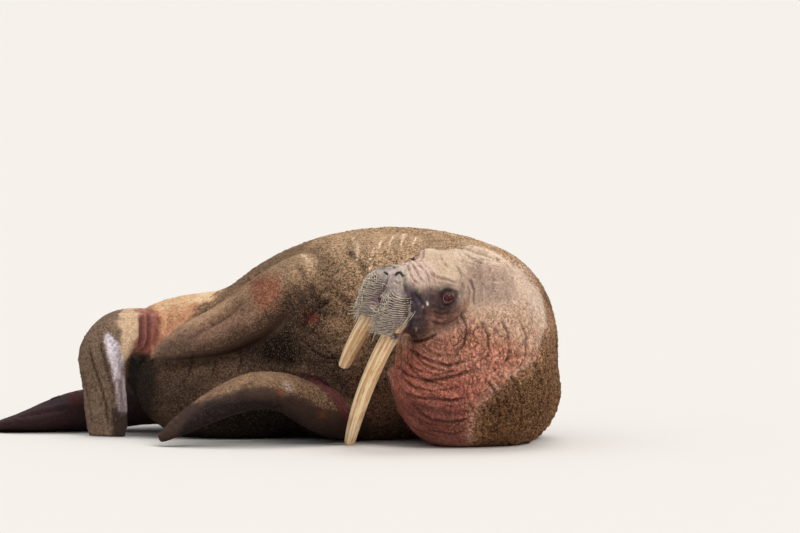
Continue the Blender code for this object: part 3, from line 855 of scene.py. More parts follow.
@dataclass
class Hide:
    """One skin over all the flesh: its shape, its folds and its markings.

    Its masks are named after what they show, and the coat takes them from here.
    """

    head: HeadFrame
    view: Viewpoint
    nodes: dict[str, bpy.types.Object]
    voxel: float = 0.0088
    floor_gap: float = 0.0006
    swell: float = 0.0012
    inset: float = 0.0030
    fair_rounds: int = 28
    eye_radius: float = 0.0200
    lid: float = 0.0026
    eye_half_long: float = 0.0178
    eye_half_high: float = 0.0152
    row_pitch: float = 0.0092

    def build(self) -> bpy.types.Object:
        """Makes the skin.

        Returns:
            The skin, with its markings as attributes.
        """
        self.obj = self.gathered()
        self.refine()
        mesh = self.obj.data
        self.web = Web(mesh)
        self.seen = self.in_view()
        self.parts = self.nearest_parts()
        self.sculpt()
        self.points = mesh_points(mesh)
        self.normals = mesh_normals(mesh)
        self.paint()
        smooth(mesh)
        return self.obj

    def tree(self) -> BVHTree:
        """The skin as it is now, for finding places on it.

        Returns:
            A tree of its faces.
        """
        mesh = self.obj.data
        return BVHTree.FromPolygons(
            [v.co.copy() for v in mesh.vertices], [tuple(p.vertices) for p in mesh.polygons]
        )

    def in_view(self) -> Rows:
        """Which vertices the photo's camera can see, with a soft edge a little beyond them.

        Returns:
            1 where it is seen, 0 where it is hidden.
        """
        tree, points, normals = self.tree(), mesh_points(self.obj.data), mesh_normals(self.obj.data)
        toward = np.array(self.view.place) - points
        toward /= np.linalg.norm(toward, axis=1)[:, None]
        seen = (np.sum(normals * toward, axis=1) > -0.05).astype(float)
        starts = points + 0.006 * normals
        for k in np.flatnonzero(seen):
            if tree.ray_cast(Vector(starts[k]), Vector(toward[k]), 5.0)[0] is not None:
                seen[k] = 0.0
        for _ in range(3):
            wide = seen.copy()
            np.maximum.at(wide, self.web.first, seen[self.web.second])
            np.maximum.at(wide, self.web.second, seen[self.web.first])
            seen = wide
        return self.web.blurred(seen, 3)

    def gathered(self) -> bpy.types.Object:
        """Joins the flesh with plugs for the eyes and gums, and lays one skin over it.

        Returns:
            The skin, still without folds.
        """
        builder = bmesh.new()
        for name in FLESH:
            copy = object_of(name + "_copy", self.nodes[name].data.copy())
            grow = copy.modifiers.new("grow", "DISPLACE")
            grow.strength = self.swell
            grow.mid_level = 0.0
            applied(copy)
            builder.from_mesh(copy.data)
            bpy.data.objects.remove(copy)
        plugs = [(self.head.eyes[side], (self.eye_radius + self.lid,) * 3) for side in Side]
        gums = [self.head.point(0.142, -0.192, 0.064 * side.value) for side in Side]
        plugs += [(gum, (0.043, 0.030, 0.039)) for gum in gums]
        for centre, radii in plugs:
            turn = Matrix([
                axis * radius
                for axis, radius in zip((self.head.forward, self.head.crown, self.head.right), radii)
            ]).transposed().to_4x4()
            bmesh.ops.create_uvsphere(
                builder, u_segments=24, v_segments=16, radius=1.0, matrix=Matrix.Translation(centre) @ turn
            )
        mesh = bpy.data.meshes.new("skin")
        builder.to_mesh(mesh)
        builder.free()
        skin = object_of("skin", mesh)
        remesh = skin.modifiers.new("one_skin", "REMESH")
        remesh.mode = "VOXEL"
        remesh.voxel_size = self.voxel
        applied(skin)
        self.keep_outer(skin.data)
        web = Web(skin.data)
        points = mesh_points(skin.data)
        from_head = np.linalg.norm(self.head.local(points) - np.array([0.03, -0.06, 0]), axis=1)
        share = 0.30 + 0.70 * step(0.20, 0.36, from_head)
        set_points(skin.data, web.fair(points, self.fair_rounds, share))
        return skin

    def keep_outer(self, mesh: bpy.types.Mesh) -> None:
        """Drops what the skin's making leaves inside the body.

        Args:
            mesh: the skin's mesh.
        """
        web = Web(mesh)
        label = np.arange(web.size)
        while True:
            lowest = label.copy()
            np.minimum.at(lowest, web.first, label[web.second])
            np.minimum.at(lowest, web.second, label[web.first])
            lowest = lowest[lowest]
            if np.array_equal(lowest, label):
                break
            label = lowest
        names, counts = np.unique(label, return_counts=True)
        stray = np.flatnonzero(label != names[np.argmax(counts)])
        LOG.info("skin: %d points inside the body dropped", len(stray))
        if len(stray):
            builder = bmesh.new()
            builder.from_mesh(mesh)
            builder.verts.ensure_lookup_table()
            bmesh.ops.delete(builder, geom=[builder.verts[int(k)] for k in stray], context="VERTS")
            builder.to_mesh(mesh)
            builder.free()

    def refine(self) -> None:
        """Makes the mesh finer on the neck and head, and finer still on the face."""
        for level in (1, 2):
            mesh = self.obj.data
            builder = bmesh.new()
            builder.from_mesh(mesh)
            points = mesh_points(mesh)
            local = self.head.local(points)
            if level == 1:
                reach = np.linalg.norm(local - np.array([-0.08, -0.16, 0.0]), axis=1)
                chosen = (reach < 0.50) & (points[:, 1] < 0.02) & (points[:, 2] > 0.02)
            else:
                ahead = (local - np.array([0.06, -0.07, 0.0])) / np.array([1.25, 1.0, 1.0])
                chosen = np.linalg.norm(ahead, axis=1) < 0.215
            edges = [e for e in builder.edges if chosen[e.verts[0].index] and chosen[e.verts[1].index]]
            bmesh.ops.subdivide_edges(builder, edges=edges, cuts=1, use_grid_fill=True)
            builder.to_mesh(mesh)
            builder.free()
            web = Web(mesh)
            set_points(mesh, web.fair(mesh_points(mesh), 4))

    def nearest_parts(self) -> dict[str, Rows]:
        """How much each vertex belongs to each piece of flesh, blurred where they meet.

        The pieces of the trunk meet along wandering lines where the photo doesn't show their borders.

        Returns:
            For each piece of flesh, its share of each vertex.
        """
        vertices, faces, owner = [], [], []
        for number, name in enumerate(FLESH):
            mesh = self.nodes[name].data
            mesh.calc_loop_triangles()
            first = len(vertices)
            vertices += [v.co.copy() for v in mesh.vertices]
            faces += [[first + k for k in t.vertices] for t in mesh.loop_triangles]
            owner += [number] * len(mesh.loop_triangles)
        tree = BVHTree.FromPolygons(vertices, faces)
        points = mesh_points(self.obj.data)
        wander = 0.09 * np.stack([mottle(points, 0.14, 35 + 3 * k, 3) for k in range(3)], axis=1)
        wander *= (1 - self.seen * step(0.30, 0.42, points[:, 2]))[:, None]
        found, moved = (
            np.array([owner[tree.find_nearest(Vector(place))[2]] for place in places])
            for places in (points, points + wander)
        )
        loose = [FLESH.index(name) for name in ("neck", "chest", "belly", "hips")]
        found = np.where(np.isin(found, loose) & np.isin(moved, loose), moved, found)
        spread = [self.web.blurred((found == k).astype(float), 9) for k in range(len(FLESH))]
        found = np.argmax(spread, axis=0)
        return {
            name: self.web.blurred((found == number).astype(float), 5) for number, name in enumerate(FLESH)
        }

    def on_skin(self, path: tuple[Pixel, ...], tree: BVHTree) -> list[Rows]:
        """Lays a path of pixels on the skin, cut where it jumps from one surface to another.

        Args:
            path: the path's corners.
            tree: the skin, for finding places on it.

        Returns:
            The lines on the skin.
        """
        dense: list[Pixel] = []
        for (ax, ay), (bx, by) in zip(path, path[1:]):
            steps = max(1, int(math.hypot(bx - ax, by - ay) / 2.0))
            dense += [(ax + (bx - ax) * k / steps, ay + (by - ay) * k / steps) for k in range(steps)]
        dense.append(path[-1])
        lines: list[list[Vector]] = [[]]
        for pixel in dense:
            hit = tree.ray_cast(self.view.place, self.view.ray(pixel))[0]
            if hit is None:
                continue
            if lines[-1] and (hit - lines[-1][-1]).length > 0.05:
                lines.append([])
            lines[-1].append(hit)
        return [np.array(line) for line in lines if len(line) > 1]

    def sculpt(self) -> None:
        """Raises and sinks the skin: folds, wrinkles, lids, nostrils and whisker rows."""
        mesh = self.obj.data
        points, normals = mesh_points(mesh), mesh_normals(mesh)
        tree = self.tree()
        # How much shade is painted into each crease and round each wart.
        self.crease = np.zeros(len(points))
        lift = -self.inset + self.warts(points, tree) + self.folds(points, tree)
        lift += self.wrinkles(points, normals)
        points = self.with_eyes(points + normals * lift[:, None])
        points[:, 2] = np.maximum(points[:, 2], self.floor_gap)
        set_points(mesh, points)

    def warts(self, points: Rows, tree: BVHTree) -> Rows:
        """The lift of the warts.

        Args:
            points: the places, one row each.
            tree: the skin, for finding places on it.

        Returns:
            How far each point rises.
        """
        lift = np.zeros(len(points))
        self.wart_share = []
        for wart in WARTS:
            hit = tree.ray_cast(self.view.place, self.view.ray(wart.pixel))[0]
            gap = np.linalg.norm(points - np.array(hit), axis=1)
            top = np.exp(-(gap / wart.radius) ** 4)
            lift += 0.55 * wart.radius * top
            # Shade painted into the crease round the wart's foot.
            self.crease += 0.5 * hump(gap, 1.5 * wart.radius, 0.35 * wart.radius)
            self.wart_share.append(top)
        return lift

    def folds(self, points: Rows, tree: BVHTree) -> Rows:
        """The lift of the folds that are drawn one by one.

        Args:
            points: the places, one row each.
            tree: the skin, for finding places on it.

        Returns:
            How far each point rises.
        """
        lift = np.zeros(len(points))
        for fold in THROAT_FOLDS + NAPE_FOLDS + FACE_FOLDS + BODY_FOLDS + FLIPPER_FOLDS:
            lines = self.on_skin(fold.path, tree)
            if fold.both:
                lines += [self.head.mirrored(line) for line in lines]
            for line in lines:
                reach = 5 * fold.width
                near = np.flatnonzero(np.all(
                    (points > line.min(0) - reach) & (points < line.max(0) + reach), axis=1
                ))
                if not len(near):
                    continue
                gap, along = line_distance(points[near], line)
                gap = gap * (1 + 0.25 * mottle(points[near], 0.02, 7, 2))
                fade = step(0, 0.14, along) * step(0, 0.14, 1 - along)
                core = hump(gap, 0, fold.width)
                lip = hump(gap, 2.1 * fold.width, 1.1 * fold.width)
                lift[near] += fade * fold.depth * (fold.lip * lip - core)
                # Shade painted into the crease's core.
                self.crease[near] = np.maximum(self.crease[near], fade * core * fold.dark)
        return lift

    def throat_share(self, points: Rows, normals: Rows) -> Rows:
        """Where the loose folded skin of the throat and the side of the neck is.

        Args:
            points: the places, one row each.
            normals: the outward directions there.

        Returns:
            Its share of each vertex.
        """
        flesh = np.clip(self.parts["neck"] + self.parts["lower_jaw"], 0, 1)
        return flesh * inside(self.view.pixels(points), LOOSE_THROAT, 12.0) * step(0.25, -0.15, normals[:, 1])

    def wrinkles(self, points: Rows, normals: Rows) -> Rows:
        """The lift of all the wrinkles that are too many to draw one by one.

        Args:
            points: the places, one row each.
            normals: the outward directions there.

        Returns:
            How far each point rises.
        """
        parts, ahead = self.parts, points[:, 0] - self.head.origin.x
        body = np.clip(parts["chest"] + parts["belly"] + 0.6 * parts["hips"], 0, 1)
        ridge = plates(points + 0.010 * mottle(points, 0.05, 5, 2)[:, None], 0.034, 11, 0.5, 0.22)
        lift = 0.0028 * mottle(points, 0.11, 3, 3) + 0.0030 * ridge * body
        hidden = (1 - self.seen) * body
        leathery = points * np.array([1.0, 0.5, 0.5]) + 0.03 * mottle(points, 0.12, 13, 2)[:, None]
        slabs = plates(leathery, 0.080, 15, 0.35, 0.2)
        lift += hidden * (0.0160 * slabs + 0.0060 * mottle(points, 0.35, 9, 2))
        throat = self.throat_share(points, normals)
        reach = np.linalg.norm(points - np.array(self.head.point(-0.03, -0.02, -0.11)), axis=1)
        reach += 0.012 * mottle(points, 0.10, 17, 2)
        broad = furrows(reach, 0.052, 0.6, 0.62)
        fine = furrows(reach + 0.004 * mottle(points, 0.03, 19, 2), 0.0185, 0.7, 0.6)
        low = step(-0.02, -0.10, ahead - 0.10)
        arcs = 0.30 + 0.70 * low
        lift += throat * (0.0075 * broad + 0.0034 * fine) * arcs
        slack = points * np.array([1.5, 1.1, 0.62]) + 0.011 * mottle(points, 0.04, 25, 3)[:, None]
        scaly = plates(slack, 0.022, 23, 0.45, 0.2)
        lift += throat * (0.0180 - 0.0110 * low) * scaly
        nape = np.clip(parts["neck"], 0, 1) * (1 - throat)
        sandy_neck = step(-0.05, 0.15, ahead - 0.22) * step(0.36, 0.20, points[:, 2])
        lift += nape * (0.0045 * ridge + (0.0020 + 0.0190 * sandy_neck) * scaly)
        lift += np.clip(parts["head"] + parts["lower_jaw"], 0, 1) * 0.0018 * scaly
        # Where shade is painted into the grooves: between the slabs of the unseen side, in the throat's arcs
        # and in the cracks between the scaly plates.
        arc_grooves = 0.60 * step(0.02, -0.35, broad) + 0.55 * step(0.0, -0.4, fine)
        self.groove = 0.35 * hidden * step(-0.10, -0.19, slabs) + throat * arcs * arc_grooves
        cracked = np.clip(throat * (1 - 0.6 * low) + (0.2 + 0.9 * sandy_neck) * nape, 0, 1)
        self.groove += 0.8 * cracked * step(-0.08, -0.18, scaly)
        return lift + self.bridge(points) + self.whisker_rows(points) + self.toes(points)

    def bridge(self, points: Rows) -> Rows:
        """The lift of the rings of wrinkles across the bridge of the snout.

        Args:
            points: the places, one row each.

        Returns:
            How far each point rises.
        """
        local = self.head.local(points)
        share = self.parts["head"] * step(0.02, 0.07, local[:, 0]) * step(-0.09, -0.05, local[:, 1])
        ring = np.linalg.norm(local - np.array([0.24, -0.04, 0]), axis=1)
        ring += 0.005 * mottle(points, 0.03, 33, 3)
        lines = furrows(ring, 0.0125, 0.6, 0.65)
        # Shade painted into the furrows across the bridge.
        self.groove += share * 0.30 * step(-0.1, -0.5, lines)
        return share * 0.0022 * lines

    def pad_share(self, points: Rows) -> Rows:
        """Where the whisker pads are.

        Args:
            points: the places, one row each.

        Returns:
            Their share of each vertex.
        """
        local = self.head.local(points)
        front = step(0.125, 0.165, local[:, 0] + 0.1 * np.abs(local[:, 2]))
        return self.parts["muzzle"] * front * step(-0.004, -0.022, local[:, 1])

    def row_wave(self, points: Rows) -> Rows:
        """How high each point stands among the rows of whiskers, which sag in the middle of each pad."""
        local = self.head.local(points)
        return local[:, 1] + 0.0020 * mottle(points, 0.03, 27, 2) - 5.0 * (np.abs(local[:, 2]) - 0.062) ** 2

    def whisker_rows(self, points: Rows) -> Rows:
        """The ridges between the rows of whiskers, and the pits that they stand in.

        Args:
            points: the places, one row each.

        Returns:
            How far each point rises.
        """
        local = self.head.local(points)
        rows = np.cos(2 * np.pi * self.row_wave(points) / self.row_pitch)
        pads = self.pad_share(points)
        # Where shade is painted into the grooves between the rows.
        self.rows = pads * step(0.45, -0.45, rows)
        first, _ = cells(points, 0.0098, 31)
        behind = step(0.19, 0.165, local[:, 0] + 0.15 * np.abs(local[:, 2]))
        # The pits that the whiskers stand in: sunk, and given painted shade.
        self.follicles = pads * step(0.30, 0.16, first) * behind
        return pads * (0.0016 * rows) - 0.0012 * self.follicles

    def toes(self, points: Rows) -> Rows:
        """The grooves between the toes of the four flippers.

        Args:
            points: the places, one row each.

        Returns:
            How far each point rises.
        """
        lift = np.zeros(len(points))
        for name, tip, root, across, gaps in (
            ("foreflipper_right", -0.44, -0.12, 2, 0.030),
            ("foreflipper_left", -0.42, -0.16, 2, 0.030),
            ("hindflipper_left", -1.09, -0.72, 1, 0.050),
        ):
            share = self.parts[name] * step(root, (root + tip) / 2, points[:, 0])
            warp = points[:, across] + 0.45 * (points[:, 0] - root) + 0.006 * mottle(points, 0.08, 29, 2)
            lift -= 0.0016 * share * np.abs(np.cos(np.pi * warp / gaps)) ** 6
        return lift

    def with_eyes(self, points: Rows) -> Rows:
        """Draws the lids over the eyeballs and opens them.

        Args:
            points: the places, one row each.

        Returns:
            The new places.
        """
        self.rims = self.rings = np.zeros(len(points))
        forward, crown = np.array(self.head.forward), np.array(self.head.crown)
        shell = self.eye_radius + self.lid
        for side, tilt, ring_share in ((Side.RIGHT, 0.24, 1.0), (Side.LEFT, 0.06, 0.5)):
            out = self.head.right * side.value * 0.88 + self.head.forward * 0.40 + self.head.crown * tilt
            out = np.array(out.normalized())
            ahead = forward - out * (out @ forward)
            ahead /= np.linalg.norm(ahead)
            over = np.cross(out, ahead)
            over *= np.sign(over @ crown)
            local = points - np.array(self.head.eyes[side])
            along, x, y = local @ out, local @ ahead, local @ over
            ring = np.hypot(x, y)
            near = (ring < 0.060) & (along > -0.03)
            dome = np.sqrt(np.maximum(shell ** 2 - ring ** 2, 0))
            raised = np.where(ring < shell, np.maximum(along, dome), along)
            raised += 0.0040 * hump(ring, 0.0225, 0.0042)
            raised -= 0.0060 * hump(ring, 0.0315, 0.0042) * step(-0.01, 0.01, y)
            raised -= 0.0040 * hump(ring, 0.0300, 0.0040) * step(0.01, -0.01, y)
            raised += 0.0045 * hump(ring, 0.0420, 0.0060) * step(0.0, 0.02, y)
            almond = (x / self.eye_half_long) ** 2 + ((y - 0.001) / self.eye_half_high) ** 2
            opening = step(1.18, 0.90, almond)
            raised = raised * (1 - opening) - 0.004 * opening
            points = points + np.where(near, raised - along, 0.0)[:, None] * out
            low = np.clip(0.5 + 0.5 * (0.8 * x - 0.6 * y) / np.maximum(ring, 1e-6), 0, 1)
            rim = near * (0.35 + 0.65 * low) * hump(np.sqrt(almond), 1.12, 0.10)
            # Shade painted into the groove round the lids, strongest on the lower front side and half as
            # strong on the left eye.
            lid_shade = near * (0.25 + 0.75 * low) * ring_share * hump(ring, 0.0300, 0.0035 + 0.0075 * low)
            self.rims = np.maximum(self.rims, rim)
            self.rings = np.maximum(self.rings, lid_shade)
        return points

    def lay(self, share: Rows, colour: tuple[float, float, float]) -> None:
        """Lays a colour over the markings."""
        share = np.clip(share, 0, 1)[:, None]
        self.colour = self.colour * (1 - share) + np.array(colour) * share

    def lay_patches(self, patches: tuple[Patch, ...], pixels: Rows, face_pixels: Rows) -> None:
        """Lays patches of colour in turn, and clears the sand that they clear.

        Args:
            patches: the patches.
            pixels: where each vertex shows in the photo, loosened a little.
            face_pixels: the same, with the head's right side moved to its left.
        """
        for patch in patches:
            flesh = np.clip(sum(self.parts[name] for name in patch.on), 0, 1)
            share = flesh * inside(face_pixels if patch.both else pixels, patch.outline, patch.soft)
            if not patch.both:
                share = share * self.seen
            self.lay(share * patch.share, patch.colour)
            self.sand = self.sand * (1 - patch.clears * share)

    def paint(self) -> None:
        """Works out the markings, the sand, the fine wrinkles and the gloss."""
        points, parts = self.points, self.parts
        self.pixels = self.view.pixels(points)
        self.local = self.head.local(points)
        self.broad = mottle(points, 0.16, 51, 3)
        self.patchy = mottle(points, 0.05, 53, 3)
        self.upward = step(0.60, 0.95, self.normals[:, 2])
        self.trunk = np.clip(sum(parts[name] for name in TRUNK), 0, 1)
        self.skull = np.clip(sum(parts[name] for name in SKULL), 0, 1)
        self.neck = np.clip(parts["neck"], 0, 1)
        warp = np.stack([
            2.6 * mottle(points, 0.07, 41 + k, 3) + 2.4 * mottle(points, 0.02, 45 + k, 2) for k in range(2)
        ], axis=1)
        self.paint_ground()
        bare = self.paint_bare(warp)
        self.paint_limbs()
        loose = self.pixels + warp * (1 + 3 * (1 - self.seen) + 2.0 * self.upward)[:, None]
        face_pixels = self.view.pixels(self.head.on_left(points)) + 0.8 * warp
        for patches in (NECK_PATCHES, FACE_PATCHES, BODY_PATCHES, FLIPPER_PATCHES):
            self.lay_patches(patches, loose, face_pixels)
        self.lay(parts["hips"] * (1 - self.sand) * self.upward * 0.65, PALE_HIPS)
        pink = np.clip((self.colour[:, 0] / np.maximum(self.colour[:, 1], 1e-3) - 1.5) / 0.7, 0, 1) * bare
        self.paint_mottling(pink)
        self.paint_relief()
        self.keep_masks(bare, pink)

    def paint_ground(self) -> None:
        """Lays the brown of the hide: paler on top where it faces up, partly drier sand and partly a painted
        highlight, and darker below, partly wet sand and partly painted shade.
        """
        height, up = self.points[:, 2], self.normals[:, 2]
        self.colour = np.tile(np.array(tone(122, 96, 74)), (len(self.points), 1))
        self.lay(step(-0.3, 0.6, self.broad) * 0.5, tone(140, 112, 86))
        self.lay(step(0.1, -0.7, self.broad + 0.5 * self.patchy) * 0.5, tone(96, 72, 56))
        # Paler where the top faces up: partly drier sand, partly a painted highlight of the light from above.
        self.lay(step(0.50, 0.76, height) * step(-0.1, 0.7, up) * 0.8, tone(166, 138, 108))
        # Darker low down and where the hide faces away from the sky: partly wet sand, partly painted shade.
        self.lay(step(0.44, 0.12, height + 0.05 * self.broad) * step(0.6, -0.2, up) * 0.85, tone(76, 55, 43))

    def paint_bare(self, warp: Rows) -> Rows:
        """Lays the bare skin of the head, throat and nape, and the sand on the rest.

        Where the photo doesn't show the neck, the bare skin ends along a wandering line.

        Args:
            warp: how far each vertex's pixel is moved, for ragged borders.

        Returns:
            How bare each vertex is.
        """
        parts, broad, patchy, hidden = self.parts, self.broad, self.patchy, 1 - self.seen
        from_head = np.linalg.norm(self.local - np.array([-0.02, -0.05, 0]), axis=1)
        beyond = (self.points - np.array(self.head.shift) - NECK_PLACE) @ NECK_WAY
        beyond += 0.07 * broad + 0.03 * patchy
        unseen = hidden * step(-0.03, 0.05, beyond) * step(0.41, 0.29, from_head + 0.09 * broad)
        depth = self.points[:, 1] - self.head.shift.y + 0.10 * broad + 0.04 * patchy
        outlined = inside(self.pixels + warp * (0.55 + 3 * hidden)[:, None], BARE_NECK, 1.6)
        bare_neck = np.maximum(self.seen * step(0.00, -0.12, depth) * outlined, unseen)
        bare = np.clip(self.skull + self.neck * bare_neck + parts["chest"] * unseen, 0, 1)
        self.sand = np.maximum(0.95 * self.trunk * (1 - unseen), self.neck * (1 - bare_neck))
        self.lay(bare, tone(198, 170, 148))
        self.lay(bare * step(-0.2, 0.8, patchy) * 0.5, tone(218, 194, 170))
        self.lay(bare * step(0.2, -0.6, broad + 0.4 * patchy) * 0.45, tone(170, 138, 120))
        under_jaw = parts["lower_jaw"] * step(-0.13, -0.20, self.local[:, 1])
        under_jaw += (self.neck + parts["chest"]) * unseen * step(-0.02, -0.12, self.local[:, 1])
        self.lay(under_jaw * 0.8, tone(150, 84, 72))
        return bare

    def paint_limbs(self) -> None:
        """Lays the hips' pale side, the flippers, with painted shade on their undersides, and the tail."""
        parts, broad = self.parts, self.broad
        x, up = self.points[:, 0], self.normals[:, 2]
        drift = 0.10 * broad + 0.06 * self.patchy
        far_hips = parts["hips"] * (1 - self.seen) * step(0.34, 0.46, self.points[:, 2] + 0.4 * drift)
        far_hips *= step(-0.17, -0.36, x + drift)
        self.lay(far_hips, PALE_HIPS)
        self.sand = self.sand * (1 - 0.95 * far_hips)
        far = np.clip(-(x + 0.10) / 0.22, 0, 1)
        for flipper in (parts["foreflipper_right"], parts["foreflipper_left"]):
            self.lay(flipper * far, tone(134, 104, 84))
            self.lay(flipper * far * step(-0.2, 0.6, broad) * 0.5, tone(154, 122, 98))
            crust = flipper * (0.9 - 0.35 * far) * step(-0.45, 0.2, up)
            self.sand = np.maximum(self.sand * (1 - flipper), crust)
            # Darker where the fore flippers face down: partly wet dark skin, partly painted shade.
            self.lay(flipper * step(0.15, -0.4, up) * 0.85, tone(50, 35, 30))
        hind, left = parts["hindflipper_right"], parts["hindflipper_left"]
        self.lay(hind, tone(114, 94, 78))
        self.lay(left, tone(60, 42, 43))
        self.lay(left * step(0.1, 0.9, self.patchy) * 0.25, tone(120, 100, 104))
        self.lay(parts["tail"], tone(110, 78, 68))
        self.sand = np.maximum(self.sand * (1 - hind), hind * 0.85)
        self.sand = np.maximum(self.sand * (1 - left), left * 0.6 * step(0.35, 0.85, up))

    def paint_mottling(self, pink: Rows) -> None:
        """Varies the pink, the dark cheeks, the grey muzzle and the side that the photo doesn't show.

        Args:
            pink: how pink each vertex is.
        """
        points, patchy, hidden = self.points, self.patchy, 1 - self.seen
        self.lay(pink * step(0.1, 0.8, patchy) * 0.45, tone(236, 178, 158))
        self.lay(pink * step(-0.1, -0.7, patchy) * 0.45, tone(156, 98, 78))
        self.lay(pink * step(0.05, 0.55, mottle(points, 0.085, 57, 3)) * 0.5, tone(176, 126, 92))
        streaks = mottle(points * np.array([1.0, 1.0, 2.6]), 0.032, 59, 3) * self.skull
        dim = step(0.16, 0.06, self.colour[:, 0])
        self.lay(dim * step(0.05, 0.6, streaks) * 0.5, tone(124, 98, 90))
        self.lay(dim * step(-0.05, -0.6, streaks) * 0.5, tone(36, 24, 26))
        dapple = self.parts["muzzle"] * (1 - dim) * mottle(points, 0.014, 63, 2)
        self.lay(dapple * 0.55, tone(198, 184, 160))
        self.lay(-dapple * 0.55, tone(96, 80, 78))
        pale_marks, _ = cells(points * np.array([1.0, 0.6, 0.6]), 0.055, 61)
        back = self.trunk * step(0.5, 0.72, points[:, 2]) * step(0.0, 0.3, self.normals[:, 2]) * hidden
        self.lay(back * step(0.14, 0.07, pale_marks) * 0.7, SCAR)
        wide, sandy = mottle(points, 0.30, 95, 3), hidden * self.trunk * self.sand
        self.lay(sandy * step(0.05, 0.6, wide) * 0.45, tone(158, 132, 104))
        self.lay(sandy * step(-0.05, -0.6, wide) * 0.45, tone(84, 64, 50))

    def paint_relief(self) -> None:
        """Paints shade into the groove round the lids, between the whisker rows, into the whisker pits, the
        creases and the grooves, and lays the lid rims, the marks and the warts.
        """
        face = np.clip(self.parts["muzzle"] + self.parts["head"], 0, 1)
        # Painted shade in the groove round each eye's lids.
        self.lay(self.rings * (1 - self.rims) * (0.55 + 0.3 * self.patchy), tone(46, 31, 33))
        self.lay(self.rims * 0.85, tone(184, 132, 128))
        # Painted shade in the grooves between the whisker rows and in the pits of the whiskers.
        self.lay(self.rows * (0.60 + 0.35 * step(0.02, 0.06, np.abs(self.local[:, 2]))), tone(44, 34, 32))
        self.lay(self.follicles * 0.85, tone(36, 27, 25))
        # Painted shade in the creases.
        self.lay(np.clip(self.crease, 0, 1) * (0.80 - 0.30 * face), tone(44, 26, 24))
        # Painted shade in the grooves of the wrinkles and cracks, darker where sand lies.
        groove = np.clip(self.groove, 0, 1) * 0.74
        self.lay(groove * (1 - self.sand), tone(78, 40, 34))
        self.lay(groove * self.sand, tone(24, 15, 11))
        for mark in MARKS:
            gap = line_distance(self.pixels, np.array(mark.path, dtype=float))[0] * self.view.metres_per_pixel
            self.lay(self.seen * hump(gap, 0, mark.width) * mark.share, mark.colour)
        for wart, share in zip(WARTS, self.wart_share):
            self.lay(share * 0.9, wart.colour)

    def keep_masks(self, bare: Rows, pink: Rows) -> None:
        """Works out what the materials and the coat read, and stores it on the mesh.

        Args:
            bare: how bare each vertex is.
            pink: how pink each vertex is.
        """
        parts, x = self.parts, self.points[:, 0]
        self.sand = np.clip(self.sand, 0, 1)
        self.bare = np.clip(bare + (1 - self.sand) * parts["hips"], 0, 1)
        self.fine = np.clip(0.30 + 0.70 * pink - 0.15 * self.skull - 0.15 * parts["muzzle"], 0, 1)
        dark = np.clip(1 - self.colour[:, 0] / 0.12, 0, 1)
        shine = np.clip(0.25 * self.crease + 0.2 * pink + 0.9 * self.rims + 0.2 * dark, 0, 1)
        self.wet = shine * (1 - self.sand)
        arms = (parts["foreflipper_right"] + parts["foreflipper_left"]) * step(0.05, -0.20, x)
        limbs = arms + parts["hindflipper_right"] + parts["hindflipper_left"] + parts["hips"] + parts["tail"]
        self.grit = (0.62 + 0.38 * step(0.0, 0.34, x + 0.1 * self.broad)) * (1 - 0.2 * np.clip(limbs, 0, 1))
        worn = np.maximum(1 - self.seen, self.upward) * step(-0.4, 0.5, mottle(self.points, 0.22, 97, 3))
        self.grit *= 1 - 0.50 * worn
        self.lay(self.neck * self.sand * self.seen * 0.5, tone(116, 78, 48))
        low_neck = self.neck * step(0.20, 0.04, self.points[:, 2])
        uneven = 0.26 * self.patchy + 0.16 * self.broad + 0.35 * low_neck
        self.colour *= (1 + self.sand * uneven)[:, None]
        for name in ("sand", "fine", "wet", "grit"):
            store(self.obj.data, name, getattr(self, name))
        # The colour, with its real markings and its painted shade and highlights.
        store(self.obj.data, "markings_and_painted_light", self.colour)


def store(mesh: bpy.types.Mesh, name: str, values: Rows) -> None:
    """Writes numbers or colours to a mesh's vertices as an attribute.

    Args:
        mesh: the mesh.
        name: what the attribute is called.
        values: one value or colour for each vertex.
    """
    if values.ndim == 1:
        made = mesh.attributes.new(name, "FLOAT", "POINT")
        made.data.foreach_set("value", values.astype(np.float32))
    else:
        made = mesh.attributes.new(name, "FLOAT_COLOR", "POINT")
        full = np.concatenate([values, np.ones((len(values), 1))], axis=1)
        made.data.foreach_set("color", full.astype(np.float32).ravel())


